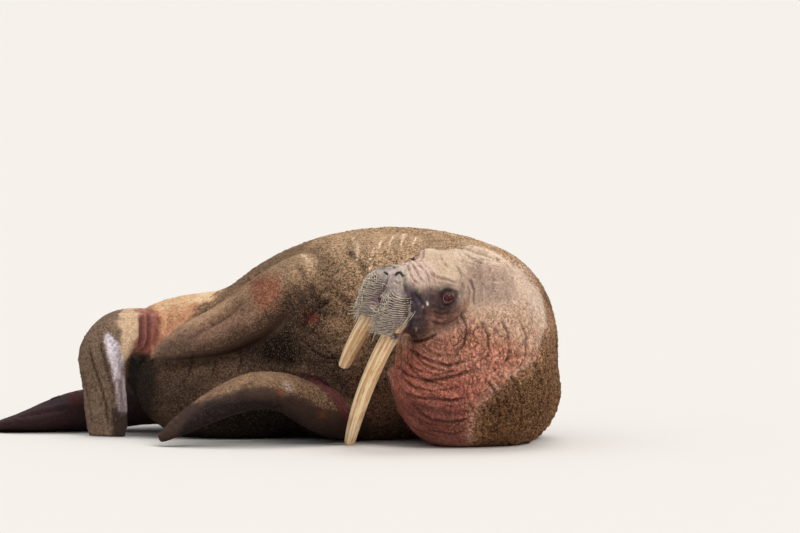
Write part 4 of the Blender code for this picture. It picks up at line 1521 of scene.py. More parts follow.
class Board:
    """A node tree under construction, with short ways to add and join its nodes."""

    def __init__(self, tree: bpy.types.NodeTree) -> None:
        """Starts on a tree that holds nothing to keep."""
        self.tree = tree

    def add(self, kind: str, **values: object) -> bpy.types.Node:
        """Adds a node and sets its properties.

        Args:
            kind: the node's type.
            values: its properties.

        Returns:
            The node.
        """
        node = self.tree.nodes.new(kind)
        for name, value in values.items():
            setattr(node, name, value)
        return node

    def join(self, source: bpy.types.NodeSocket, target: bpy.types.NodeSocket) -> None:
        """Links two sockets."""
        self.tree.links.new(source, target)

    def feed(self, socket: bpy.types.NodeSocket, value: object) -> None:
        """Links a socket, or sets it to a plain value.

        Args:
            socket: the input.
            value: a socket or a plain value.
        """
        if isinstance(value, bpy.types.NodeSocket):
            self.join(value, socket)
        else:
            socket.default_value = value

    def maths(
        self, operation: str, first: object, second: object = 0.0, third: object = 0.0
    ) -> bpy.types.NodeSocket:
        """A Math node.

        Args:
            operation: what it works out.
            first: a socket or a plain value.
            second: a socket or a plain value.
            third: a socket or a plain value.

        Returns:
            The node's output.
        """
        node = self.add("ShaderNodeMath", operation=operation)
        for socket, value in zip(node.inputs, (first, second, third)):
            self.feed(socket, value)
        return node.outputs[0]

    def times(self, first: object, second: object) -> bpy.types.NodeSocket:
        """The product of two values."""
        return self.maths("MULTIPLY", first, second)

    def weighed(self, first: object, share: object, second: object, other: object) -> bpy.types.NodeSocket:
        """The sum of two values, each times its own share."""
        return self.maths("MULTIPLY_ADD", first, share, self.times(second, other))

    def away(self, value: object, middle: float) -> bpy.types.NodeSocket:
        """How far a value lies from a middle."""
        return self.maths("ABSOLUTE", self.maths("SUBTRACT", value, middle))

    def relief(self, height: bpy.types.NodeSocket, shader: bpy.types.Node) -> None:
        """Bumps a shader's surface by a height in metres.

        Args:
            height: the height.
            shader: the shader.
        """
        bump = self.add("ShaderNodeBump")
        bump.inputs["Distance"].default_value = 1.0
        bump.inputs["Strength"].default_value = 1.0
        self.join(height, bump.inputs["Height"])
        self.join(bump.outputs["Normal"], shader.inputs["Normal"])

    def ramp(
        self, value: object, low: float, high: float, start: object = 0.0, end: object = 1.0
    ) -> bpy.types.NodeSocket:
        """A soft Map Range from low and high to start and end.

        Args:
            value: a socket or a plain value.
            low: where it starts.
            high: where it ends.
            start: what it gives at low.
            end: what it gives at high.

        Returns:
            The node's output.
        """
        node = self.add("ShaderNodeMapRange", interpolation_type="SMOOTHSTEP")
        for socket, part in zip(node.inputs, (value, low, high, start, end)):
            self.feed(socket, part)
        return node.outputs[0]

    def blend(self, share: object, first: object, second: object, mode: str = "MIX") -> bpy.types.NodeSocket:
        """A colour Mix node.

        Args:
            share: how much of the second shows.
            first: a colour.
            second: a colour.
            mode: how they are blended.

        Returns:
            The node's output.
        """
        node = self.add("ShaderNodeMix", data_type="RGBA", blend_type=mode)
        self.feed(node.inputs[0], share)
        self.feed(node.inputs[6], first)
        self.feed(node.inputs[7], second)
        return node.outputs[2]

    def noise(self, place: object, scale: float, detail: float, rough: float = 0.6) -> bpy.types.NodeSocket:
        """A Noise Texture's value.

        Args:
            place: where it is read.
            scale: how fine it is.
            detail: how many finer layers it has.
            rough: how strong those are.

        Returns:
            The node's output.
        """
        node = self.add("ShaderNodeTexNoise")
        self.feed(node.inputs["Vector"], place)
        node.inputs["Scale"].default_value = scale
        node.inputs["Detail"].default_value = detail
        node.inputs["Roughness"].default_value = rough
        return node.outputs["Fac"]

    def attribute(self, name: str, output: str = "Fac") -> bpy.types.NodeSocket:
        """One of the mesh's stored values."""
        node = self.add("ShaderNodeAttribute", attribute_name=name)
        return node.outputs[output]


def new_material(name: str) -> tuple[bpy.types.Material, Board, bpy.types.Node]:
    """Starts a material.

    Args:
        name: what it is called.

    Returns:
        The material, its board and its shader.
    """
    made = bpy.data.materials.new(name)
    made.use_nodes = True
    return made, Board(made.node_tree), made.node_tree.nodes["Principled BSDF"]


def hide_group() -> bpy.types.NodeTree:
    """The hide's shared surface: markings, wet wrinkled skin and a crust of sand.

    Returns:
        A group with Grain and Wrinkle as inputs, and Colour, Roughness and Height as outputs.
    """
    tree = bpy.data.node_groups.new("sandy_hide_surface", "ShaderNodeTree")
    for name in ("Grain", "Wrinkle"):
        tree.interface.new_socket(name, in_out="INPUT", socket_type="NodeSocketFloat").default_value = 1.0
    for name, kind in (("Colour", "Color"), ("Roughness", "Float"), ("Height", "Float")):
        tree.interface.new_socket(name, in_out="OUTPUT", socket_type="NodeSocket" + kind)
    board = Board(tree)
    given = board.add("NodeGroupInput")
    result = board.add("NodeGroupOutput")
    place = board.add("ShaderNodeTexCoord").outputs["Object"]
    markings_and_painted_light = board.attribute("markings_and_painted_light", "Color")
    sand, fine, wet, grit_share = (board.attribute(name) for name in ("sand", "fine", "wet", "grit"))
    clumps = board.noise(place, 46.0, 4.0, 0.62)
    grains = board.noise(place, 120.0, 4.0, 0.72)
    specks = board.noise(place, 300.0, 2.0, 0.6)
    cover = board.ramp(board.maths("ADD", sand, board.maths("MULTIPLY_ADD", clumps, 0.9, -0.45)), 0.38, 0.62)
    cover = board.times(cover, board.ramp(sand, 0.02, 0.2))
    grit = board.weighed(grains, 0.70, specks, 0.30)
    # Sand speckle: grains of paler and darker colour, with the dark gaps between clumps partly painted shade.
    light = board.ramp(board.weighed(clumps, 0.22, grit, 0.78), 0.415, 0.590)
    tint = board.blend(light, (0.27, 0.220, 0.210, 1.0), (1.88, 1.88, 1.88, 1.0))
    sandy = board.blend(1.0, markings_and_painted_light, tint, "MULTIPLY")
    # Painted glints on the brightest grains.
    glint = board.times(board.ramp(specks, 0.57, 0.66), light)
    sandy = board.blend(board.times(glint, 0.40), sandy, (*tone(226, 198, 150), 1.0))
    sandy = board.blend(grit_share, markings_and_painted_light, sandy)
    drift = board.add("ShaderNodeTexNoise")
    board.join(place, drift.inputs["Vector"])
    drift.inputs["Scale"].default_value = 30.0
    shrink = board.add("ShaderNodeVectorMath", operation="SCALE")
    board.join(drift.outputs["Color"], shrink.inputs[0])
    shrink.inputs["Scale"].default_value = 0.030
    bent = board.add("ShaderNodeVectorMath", operation="ADD")
    board.join(place, bent.inputs[0])
    board.join(shrink.outputs[0], bent.inputs[1])
    cracks = board.add("ShaderNodeTexVoronoi", feature="DISTANCE_TO_EDGE")
    board.join(bent.outputs[0], cracks.inputs["Vector"])
    cracks.inputs["Scale"].default_value = 78.0
    groove = board.ramp(cracks.outputs["Distance"], 0.0, 0.26, 1.0, 0.0)
    groove = board.times(groove, board.ramp(clumps, 0.36, 0.56, 0.25, 1.0))
    # Fine hairlines of the wrinkles, sunk in relief.
    hairlines = board.ramp(board.away(board.noise(bent.outputs[0], 34.0, 3.0, 0.55), 0.5), 0.0, 0.035, 1.0, 0.0)
    hairlines = board.times(hairlines, board.ramp(clumps, 0.40, 0.55))
    hairlines = board.times(hairlines, board.ramp(fine, 0.0, 0.5))
    flecks = board.ramp(board.weighed(grains, 0.6, specks, 0.4), 0.41, 0.59, 0.80, 1.19)
    bare = board.blend(1.0, markings_and_painted_light, flecks, "MULTIPLY")
    # Painted shade in the hairlines and in the cracks of the bare skin.
    bare = board.blend(board.times(hairlines, 0.42), bare, (0.085, 0.045, 0.038, 1.0))
    bare = board.blend(board.times(board.times(groove, fine), 0.50), bare, (0.085, 0.036, 0.030, 1.0))
    board.join(board.blend(cover, bare, sandy), result.inputs["Colour"])
    dull = board.maths("MULTIPLY_ADD", wet, -0.30, 0.62)
    dull = board.maths("MULTIPLY_ADD", grains, 0.12, dull)
    board.join(board.ramp(cover, 0.0, 1.0, dull, 0.93), result.inputs["Roughness"])
    lines = board.maths("MULTIPLY_ADD", groove, fine, board.times(hairlines, 0.6))
    lines = board.times(lines, board.times(given.outputs["Wrinkle"], -0.0026))
    crust = board.times(cover, board.weighed(grit, 0.0046, clumps, 0.0060))
    crust = board.times(crust, board.times(given.outputs["Grain"], grit_share))
    height = board.maths("ADD", board.maths("ADD", lines, crust), board.times(grains, 0.0010))
    board.join(height, result.inputs["Height"])
    return tree


@dataclass(frozen=True)
class HideFinish:
    """Skin or coat: how much sand grain and wrinkle it shows in relief."""

    name: str
    grain: float = 1.0
    wrinkle: float = 1.0

    def material(self, group: bpy.types.NodeTree) -> bpy.types.Material:
        """Makes the material around the shared surface.

        Args:
            group: the hide's shared surface.

        Returns:
            The material.
        """
        made, board, shader = new_material(self.name)
        surface = board.add("ShaderNodeGroup", node_tree=group)
        surface.inputs["Grain"].default_value = self.grain
        surface.inputs["Wrinkle"].default_value = self.wrinkle
        board.join(surface.outputs["Colour"], shader.inputs["Base Color"])
        board.join(surface.outputs["Roughness"], shader.inputs["Roughness"])
        board.relief(surface.outputs["Height"], shader)
        shader.inputs["Specular IOR Level"].default_value = 0.12
        return made


@dataclass(frozen=True)
class IvoryFinish:
    """Yellowed tusk with lengthwise grooves and hairline cracks."""

    name: str = "ivory"
    pale: tuple[float, float, float] = tone(252, 226, 184)
    stain: tuple[float, float, float] = tone(224, 174, 122)
    crack: tuple[float, float, float] = tone(92, 58, 34)
    # The brown near the gum: partly a stain, partly painted shade where the tusk leaves the lip.
    gum: tuple[float, float, float] = tone(150, 96, 66)

    def material(self) -> bpy.types.Material:
        """Makes the material; the tusk's mesh stores round and down for it.

        Returns:
            The material.
        """
        made, board, shader = new_material(self.name)
        round_x, round_y, down = (board.attribute(name) for name in ("round_x", "round_y", "down"))
        lengthwise = board.add("ShaderNodeCombineXYZ")
        board.join(round_x, lengthwise.inputs[0])
        board.join(round_y, lengthwise.inputs[1])
        board.join(board.times(down, 0.030), lengthwise.inputs[2])
        streak = board.noise(lengthwise.outputs[0], 80.0, 4.0, 0.6)
        hairlines = board.noise(lengthwise.outputs[0], 150.0, 2.0, 0.5)
        place = board.add("ShaderNodeTexCoord").outputs["Object"]
        blotch = board.noise(place, 22.0, 4.0, 0.6)
        stained = board.ramp(board.weighed(streak, 0.75, blotch, 0.25), 0.44, 0.60)
        colour = board.blend(stained, (*self.pale, 1.0), (*self.stain, 1.0))
        crack = board.ramp(board.away(hairlines, 0.5), 0.004, 0.022, 1.0, 0.0)
        crack = board.times(crack, board.ramp(streak, 0.44, 0.54))
        colour = board.blend(board.times(crack, 0.75), colour, (*self.crack, 1.0))
        # Darker brown near the gum: partly a stain, partly painted shade.
        near_gum = board.times(board.ramp(down, 0.05, -0.005), 0.3)
        colour = board.blend(near_gum, colour, (*self.gum, 1.0))
        board.join(colour, shader.inputs["Base Color"])
        board.join(board.ramp(streak, 0.3, 0.7, 0.30, 0.52), shader.inputs["Roughness"])
        board.relief(board.weighed(streak, 0.0016, crack, -0.0012), shader)
        shader.inputs["Subsurface Weight"].default_value = 0.08
        shader.inputs["Subsurface Scale"].default_value = 0.01
        return made


@dataclass(frozen=True)
class EyeFinish:
    """A wet eye: dark pupil, red-brown iris and a bloodshot white."""

    name: str = "wet_eye"
    pupil: float = 0.0060
    iris: float = 0.0142
    black: tuple[float, float, float] = (0.004, 0.003, 0.003)

    def material(self) -> bpy.types.Material:
        """Makes the material; the eye's mesh stores how far each vertex is from its gaze.

        Returns:
            The material.
        """
        made, board, shader = new_material(self.name)
        out = board.attribute("from_gaze")
        place = board.add("ShaderNodeTexCoord").outputs["Object"]
        fleck = board.noise(place, 900.0, 3.0)
        blood = board.noise(place, 400.0, 4.0)
        iris = board.blend(fleck, (*tone(46, 16, 17), 1.0), (*tone(98, 36, 36), 1.0))
        white = board.blend(blood, (*tone(122, 62, 62), 1.0), (*tone(86, 30, 34), 1.0))
        colour = board.blend(board.ramp(out, self.iris - 0.0012, self.iris + 0.0012), iris, white)
        in_pupil = board.ramp(out, self.pupil + 0.0008, self.pupil - 0.0008)
        colour = board.blend(in_pupil, colour, (*self.black, 1.0))
        board.join(colour, shader.inputs["Base Color"])
        shader.inputs["Roughness"].default_value = 0.06
        shader.inputs["Specular IOR Level"].default_value = 0.38
        return made


@dataclass(frozen=True)
class HornFinish:
    """Whiskers and nails: pale at one end and darker at the other."""

    name: str
    near: tuple[float, float, float]
    far: tuple[float, float, float]
    rough: float = 0.45

    def material(self) -> bpy.types.Material:
        """Makes the material; the mesh stores out, from 0 at the root to 1 at the tip.

        Returns:
            The material.
        """
        made, board, shader = new_material(self.name)
        place = board.add("ShaderNodeTexCoord").outputs["Object"]
        flecks = board.ramp(board.noise(place, 130.0, 3.0), 0.3, 0.7, 0.75, 1.2)
        colour = board.blend(board.attribute("out"), (*self.near, 1.0), (*self.far, 1.0))
        board.join(board.blend(1.0, colour, flecks, "MULTIPLY"), shader.inputs["Base Color"])
        rough = board.ramp(board.noise(place, 300.0, 2.0), 0.3, 0.7, self.rough - 0.1, self.rough + 0.1)
        board.join(rough, shader.inputs["Roughness"])
        return made


@dataclass
class Tusk:
    """One tusk, oval, curved and blunt, drawn along the line of its solid."""

    head: HeadFrame
    side: Side
    length: float
    root: float = 0.060
    radius: float = 0.0375
    spread: float = 0.063
    splay: float = 0.012
    full_length: float = 0.530
    flat: float = 0.82
    groove: float = 0.0012
    scratch: float = 0.0007
    inset: float = 0.0006
    rings: int = 110
    sides: int = 48

    def centre(self, share: float) -> tuple[Vector, float, float]:
        """The middle, thickness and way down at a share of the length.

        Args:
            share: 0 at the root and 1 at the tip.

        Returns:
            The middle, the half thickness and the distance below the gum.
        """
        down = share * (self.length + self.root) - self.root
        bow = 0.06 * down - 0.36 * down * down
        aside = self.side.value * (self.spread + self.splay * share)
        middle = self.head.point(0.145 + bow, -0.203 - down, aside)
        return middle, self.radius * (1.0 - 0.16 * down / self.full_length - 0.30 * share ** 4), down

    def build(self, finish: bpy.types.Material) -> bpy.types.Object:
        """Makes the tusk.

        Args:
            finish: its ivory.

        Returns:
            The tusk.
        """
        points, rounds, downs = [], [], []
        for ring in range(self.rings + 1):
            share = (1 - math.cos(math.pi * ring / self.rings)) / 2
            middle, thick, down = self.centre(share)
            ahead = (self.centre(min(1, share + 0.01))[0] - self.centre(max(0, share - 0.01))[0]).normalized()
            across = ahead.cross(self.head.forward).normalized()
            inward = across.cross(ahead).normalized()
            end = min(1.0, (1 - share) / 0.055, (share + 0.001) / 0.03)
            dome = math.sqrt(max(0.0, 1 - (1 - end) ** 2))
            for turn in (2 * math.pi * k / self.sides for k in range(self.sides)):
                groove = self.groove * abs(math.sin(turn * 1.5 + 0.9)) ** 14
                groove += self.scratch * abs(math.sin(turn * 2.5 + down)) ** 16
                size = thick * dome * (1 - 0.03 * math.sin(2 * turn + down * 6))
                wide = max(self.flat * size - groove * dome - self.inset, 0)
                deep = max(size - groove * dome - self.inset, 0)
                points.append(middle + across * wide * math.cos(turn) + inward * deep * math.sin(turn))
                rounds.append((math.cos(turn) * 0.03, math.sin(turn) * 0.035))
                downs.append(down)
        ring_start = np.arange(self.rings)[:, None] * self.sides
        k = np.arange(self.sides)[None, :]
        after = (k + 1) % self.sides
        ring_end = ring_start + self.sides
        faces = np.stack([ring_start + k, ring_start + after, ring_end + after, ring_end + k], axis=-1)
        places = np.array(points)
        places[:, 2] = np.maximum(places[:, 2], FLOOR_GAP)
        mesh = mesh_of(f"tusk_{self.side.name.lower()}", places, faces.reshape(-1, 4))
        for name, values in (("round_x", np.array(rounds)[:, 0]), ("round_y", np.array(rounds)[:, 1])):
            store(mesh, name, values)
        store(mesh, "down", np.array(downs))
        builder = bmesh.new()
        builder.from_mesh(mesh)
        bmesh.ops.remove_doubles(builder, verts=builder.verts, dist=1e-5)
        bmesh.ops.holes_fill(builder, edges=[e for e in builder.edges if e.is_boundary], sides=0)
        bmesh.ops.recalc_face_normals(builder, faces=builder.faces)
        builder.to_mesh(mesh)
        builder.free()
        smooth(mesh)
        mesh.materials.append(finish)
        made = object_of(f"ivory_{self.side.name.lower()}", mesh)
        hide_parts(f"tusk_{self.side.name.lower()}")
        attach(made, "root")
        return made


@dataclass
class Eye:
    """An eyeball with a bulging cornea, in place of its solid."""

    head: HeadFrame
    side: Side
    radius: float = 0.0198
    cornea: float = 0.0016

    def build(self, finish: bpy.types.Material) -> bpy.types.Object:
        """Makes the eyeball.

        Args:
            finish: its wet surface.

        Returns:
            The eyeball.
        """
        gaze = self.head.right * self.side.value * 0.84 + self.head.forward * 0.50 + self.head.crown * 0.18
        gaze.normalize()
        builder = bmesh.new()
        bmesh.ops.create_uvsphere(builder, u_segments=48, v_segments=32, radius=self.radius)
        mesh = bpy.data.meshes.new("eyeball")
        builder.to_mesh(mesh)
        builder.free()
        points = mesh_points(mesh)
        along = points @ np.array(gaze)
        out = np.linalg.norm(points - along[:, None] * np.array(gaze), axis=1)
        front = along > 0
        bulge = np.where(front, self.cornea * np.exp(-(out / 0.009) ** 2), 0.0)
        points = points + np.array(gaze) * bulge[:, None] + np.array(self.head.eyes[self.side])
        set_points(mesh, points)
        store(mesh, "from_gaze", np.where(front, out, 0.03))
        smooth(mesh)
        mesh.materials.append(finish)
        made = object_of(f"eyeball_{self.side.name.lower()}", mesh)
        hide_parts(f"eye_{self.side.name.lower()}")
        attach(made, "root")
        return made


class SkinMap:
    """An unwrap of the skin's own shape, from which each tuft takes its place on the map."""

    def __init__(self, skin: bpy.types.Object, share: float = 0.06) -> None:
        """Unwraps a lighter copy of the skin.

        Args:
            skin: the skin.
            share: how much of its mesh the copy keeps.
        """
        light = object_of("light_skin", skin.data.copy())
        thin = light.modifiers.new("thin", "DECIMATE")
        thin.ratio = share
        thin.use_collapse_triangulate = True
        applied(light)
        bpy.context.view_layer.objects.active = light
        light.select_set(True)
        bpy.ops.object.mode_set(mode="EDIT")
        bpy.ops.mesh.select_all(action="SELECT")
        bpy.ops.uv.smart_project(angle_limit=math.radians(66), island_margin=0.002)
        bpy.ops.object.mode_set(mode="OBJECT")
        mesh = light.data
        self.corners = [v.co.copy() for v in mesh.vertices]
        self.faces = [tuple(p.vertices) for p in mesh.polygons]
        layer = mesh.uv_layers.active.data
        self.places = [[Vector((*layer[k].uv, 0.0)) for k in p.loop_indices] for p in mesh.polygons]
        self.tree = BVHTree.FromPolygons(self.corners, self.faces)
        bpy.data.objects.remove(light)

    def at(self, point: Rows) -> tuple[float, float]:
        """Where a point of the skin lies on the map.

        Args:
            point: the place.

        Returns:
            Its two map coordinates.
        """
        near, _, face, _ = self.tree.find_nearest(Vector(point))
        a, b, c = (self.corners[k] for k in self.faces[face][:3])
        spot = barycentric_transform(near, a, b, c, *self.places[face][:3])
        return spot.x, spot.y


@dataclass
class Tufts:
    """Many small solid shapes on the hide, joined into one mesh."""

    name: str
    shape: Rows
    faces: Rows

    def build(
        self, chart: SkinMap, roots: Rows, frames: Rows, sizes: Rows, colour: Rows, masks: dict[str, Rows]
    ) -> bpy.types.Object:
        """Makes the mesh.

        Args:
            chart: the skin's unwrap.
            roots: where each one stands.
            frames: the three directions of each one: along, across and out.
            sizes: how long, wide and high each one is.
            colour: the markings at each root.
            masks: the other stored values at each root.

        Returns:
            The joined mesh as an object.
        """
        count, corners = len(roots), len(self.shape)
        scaled = self.shape[None, :, :] * sizes[:, None, :]
        points = roots[:, None, :] + np.einsum("nck,nkd->ncd", scaled, frames)
        points[..., 2] = np.maximum(points[..., 2], FLOOR_GAP)
        faces = np.arange(count)[:, None, None] * corners + self.faces[None]
        faces = faces.reshape(-1, self.faces.shape[1])
        mesh = mesh_of(self.name, points.reshape(-1, 3), faces)
        spots = np.array([chart.at(root) for root in roots])
        flat = self.shape[:, :2] / np.abs(self.shape[:, :2]).max() * MAP_PATCH / 2
        spread = spots[:, None, :] + flat[None]
        layer = mesh.uv_layers.new(name="OFBake")
        layer.data.foreach_set("uv", spread.reshape(-1, 2)[faces.ravel()].astype(np.float32).ravel())
        out = self.shape[:, 0] - self.shape[:, 0].min()
        lighter = 0.92 + 0.22 * out / out.max()
        store(mesh, "markings_and_painted_light", (colour[:, None, :] * lighter[None, :, None]).reshape(-1, 3))
        for name, values in masks.items():
            store(mesh, name, np.repeat(values, corners))
        return object_of(self.name, mesh)


@dataclass
class Coat:
    """Short sparse hair and crumbs of sand on the hide."""

    hide: Hide
    chart: SkinMap
    seed: int = 83

    def __post_init__(self) -> None:
        """Works out how much hide each vertex stands for, and one neighbour of each."""
        web, points = self.hide.web, self.hide.points
        gap = np.linalg.norm(points[web.first] - points[web.second], axis=1)
        self.area = np.bincount(web.first, gap ** 2, web.size) + 1e-9
        self.partner = np.arange(web.size)
        self.partner[web.first] = web.second

    def places(self, count: int, weight: Rows) -> tuple[Rows, Rows]:
        """Chooses vertices of the hide, and loosens them from the mesh's grid.

        Args:
            count: how many to choose.
            weight: how much each vertex should have.

        Returns:
            The chosen vertices, and their places.
        """
        random = np.random.default_rng(self.seed)
        chance = weight * self.area
        chosen = random.choice(len(chance), size=count, p=chance / chance.sum())
        along = self.hide.points[self.partner[chosen]] - self.hide.points[chosen]
        return chosen, self.hide.points[chosen] + along * random.uniform(0.0, 0.9, count)[:, None]

    def lie(self, chosen: Rows) -> Rows:
        """The way that hair lies: back from the snout, and along the body to its tail.

        Args:
            chosen: the numbers of the vertices.

        Returns:
            A direction along the skin for each.
        """
        points = self.hide.points[chosen]
        normals = self.hide.normals[chosen]
        away = points - np.array(self.hide.head.point(0.25, -0.05, 0))
        away /= np.linalg.norm(away, axis=1)[:, None]
        near = step(0.85, 0.45, np.linalg.norm(points - np.array(self.hide.head.origin), axis=1))[:, None]
        way = away * near + np.array([-1.0, 0.15, -0.15]) * (1 - near)
        way += 0.35 * np.stack([mottle(points, 0.05, 71 + k, 2) for k in range(3)], axis=1)
        way -= normals * np.sum(way * normals, axis=1)[:, None]
        return way / np.linalg.norm(way, axis=1)[:, None]

    def hair(self, count: int = 44000) -> bpy.types.Object:
        """The short worn hair, smallest on the face and flippers.

        Args:
            count: how many hairs.

        Returns:
            All of them as an object.
        """
        hide, random = self.hide, np.random.default_rng(self.seed + 1)
        off = hide.rims * 4 + (hide.points[:, 2] < 0.006) + hide.rings
        weight = np.clip(1.0 - off, 0, 1) * np.clip(0.30 + hide.bare + 0.6 * hide.sand, 0.2, 1.2)
        chosen, roots = self.places(count, weight)
        along, normal = self.lie(chosen), hide.normals[chosen]
        rise = random.uniform(0.12, 0.42, count)[:, None]
        along = along * np.sqrt(1 - rise ** 2) + normal * rise
        across = np.cross(normal, along)
        across /= np.linalg.norm(across, axis=1)[:, None]
        out = np.cross(along, across)
        small = hide.parts["muzzle"] + 0.6 * hide.parts["head"]
        small = small + sum(0.5 * hide.parts[name] for name in FLESH if "flipper" in name)
        size = random.uniform(0.7, 1.25, count) * (1 - 0.5 * np.clip(small[chosen], 0, 1))
        sizes = np.stack([0.0080 * size, 0.0013 * size, 0.0009 * size], axis=1)
        shape = np.array([[0, -1, -0.4], [0, 1, -0.4], [0, 0, 1], [1, 0, 0.4]], dtype=float)
        faces = np.array([[0, 2, 3], [2, 1, 3], [1, 0, 3], [0, 1, 2]])
        tufts = Tufts("short_hair", shape, faces)
        roots = roots - normal * 0.0006
        return self.finish(tufts, chosen, roots, np.stack([along, across, out], axis=1), sizes)

    def crumbs(self, count: int = 24000) -> bpy.types.Object:
        """Crumbs of sand, half sunk in the crust.

        Args:
            count: how many crumbs.

        Returns:
            All of them as an object.
        """
        hide, random = self.hide, np.random.default_rng(self.seed + 2)
        clump = step(-0.25, 0.45, mottle(hide.points, 0.022, 91, 2))
        clear = hide.points[:, 2] > 0.006
        weight = np.clip(hide.sand, 0, 1) ** 2 * hide.grit * (0.15 + clump) * clear + 1e-6
        chosen, roots = self.places(count, weight)
        normal = hide.normals[chosen]
        along = self.lie(chosen)
        across = np.cross(normal, along)
        size = random.uniform(0.5, 1.0, count) ** 2 * 0.0036 + 0.0008
        sizes = size[:, None] * random.uniform(0.6, 1.2, (count, 3)) * np.array([1.0, 1.0, 0.75])
        shape = np.array([[1, 0, 0], [0, 1, 0], [-1, 0, 0], [0, -1, 0], [0, 0, 1], [0, 0, -1]], dtype=float)
        faces = np.array([
            [0, 1, 4], [1, 2, 4], [2, 3, 4], [3, 0, 4], [1, 0, 5], [2, 1, 5], [3, 2, 5], [0, 3, 5],
        ])
        tufts = Tufts("sand_crumbs", shape, faces)
        return self.finish(tufts, chosen, roots, np.stack([along, across, normal], axis=1), sizes)

    def finish(self, tufts: Tufts, chosen: Rows, roots: Rows, frames: Rows, sizes: Rows) -> bpy.types.Object:
        """Builds one kind of tuft with the markings of the hide under it.

        Args:
            tufts: the kind.
            chosen: the vertices that they stand at.
            roots: where each one stands.
            frames: the three directions of each one.
            sizes: how long, wide and high each one is.

        Returns:
            The joined mesh as an object.
        """
        hide = self.hide
        random = np.random.default_rng(self.seed + 5)
        colour = hide.colour[chosen] * random.uniform(0.75, 1.3, len(chosen))[:, None]
        none = np.zeros(len(chosen))
        masks = {"sand": hide.sand[chosen], "fine": none, "wet": none, "grit": hide.grit[chosen]}
        made = tufts.build(self.chart, roots, frames, sizes, colour, masks)
        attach(made, "root")
        return made


@dataclass
class Bristles:
    """Stiff tapered bristles or nails, each bent a little, joined into one mesh."""

    name: str
    sides: int = 5
    segments: int = 5
    tip: float = 0.00012
    points: list[Rows] = field(default_factory=list)
    outs: list[float] = field(default_factory=list)
    roots: list[Rows] = field(default_factory=list)

    def add(self, root: Rows, way: Rows, bend: Rows, length: float, thick: float) -> None:
        """Adds one bristle.

        Args:
            root: where it stands.
            way: its direction at the root.
            bend: how its direction has changed at the tip.
            length: its length.
            thick: its half thickness at the root.
        """
        across = np.cross(way, [0.31, 0.52, 0.79])
        across /= np.linalg.norm(across)
        over = np.cross(way, across)
        rings = []
        for k in range(self.segments + 1):
            share = k / self.segments
            middle = root + way * length * share + bend * length * share ** 2 / 2
            radius = thick * (1 - share) ** 0.7 + self.tip
            for turn in np.linspace(0, 2 * np.pi, self.sides, endpoint=False):
                rings.append(middle + radius * (across * math.cos(turn) + over * math.sin(turn)))
                self.outs.append(share)
        self.points.append(np.array(rings))
        self.roots.append(root)

    def build(self, chart: SkinMap, finish: bpy.types.Material, slot: str) -> bpy.types.Object:
        """Joins all that were added.

        Args:
            chart: the skin's unwrap.
            finish: their surface.
            slot: not used.

        Returns:
            The joined mesh as an object.
        """
        per = self.sides * (self.segments + 1)
        k = np.arange(self.sides)
        after = (k + 1) % self.sides
        band = np.stack([k, after, after + self.sides, k + self.sides], axis=1)
        one = np.concatenate([band + ring * self.sides for ring in range(self.segments)])
        faces = (np.arange(len(self.points))[:, None, None] * per + one[None]).reshape(-1, 4)
        mesh = mesh_of(self.name, np.concatenate(self.points), faces)
        store(mesh, "out", np.array(self.outs))
        builder = bmesh.new()
        builder.from_mesh(mesh)
        layer = builder.loops.layers.uv.new("OFBake")
        spots = [chart.at(root) for root in self.roots]
        bmesh.ops.holes_fill(builder, edges=[e for e in builder.edges if e.is_boundary], sides=self.sides)
        bmesh.ops.recalc_face_normals(builder, faces=builder.faces)
        for face in builder.faces:
            for loop in face.loops:
                number, place = divmod(loop.vert.index, per)
                ring, turn = divmod(place, self.sides)
                spot = spots[number]
                loop[layer].uv = (
                    spot[0] + MAP_PATCH * (turn / self.sides - 0.5),
                    spot[1] + MAP_PATCH * (ring / self.segments - 0.5),
                )
        builder.to_mesh(mesh)
        builder.free()
        smooth(mesh)
        mesh.materials.append(finish)
        made = object_of(self.name, mesh)
        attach(made, "root")
        return made


# Places on the near pad where no whisker grows, in the photo's pixels.
CLEAR_SPOTS = ((372.0, 307.0), (379.0, 299.5), (384.0, 287.0))


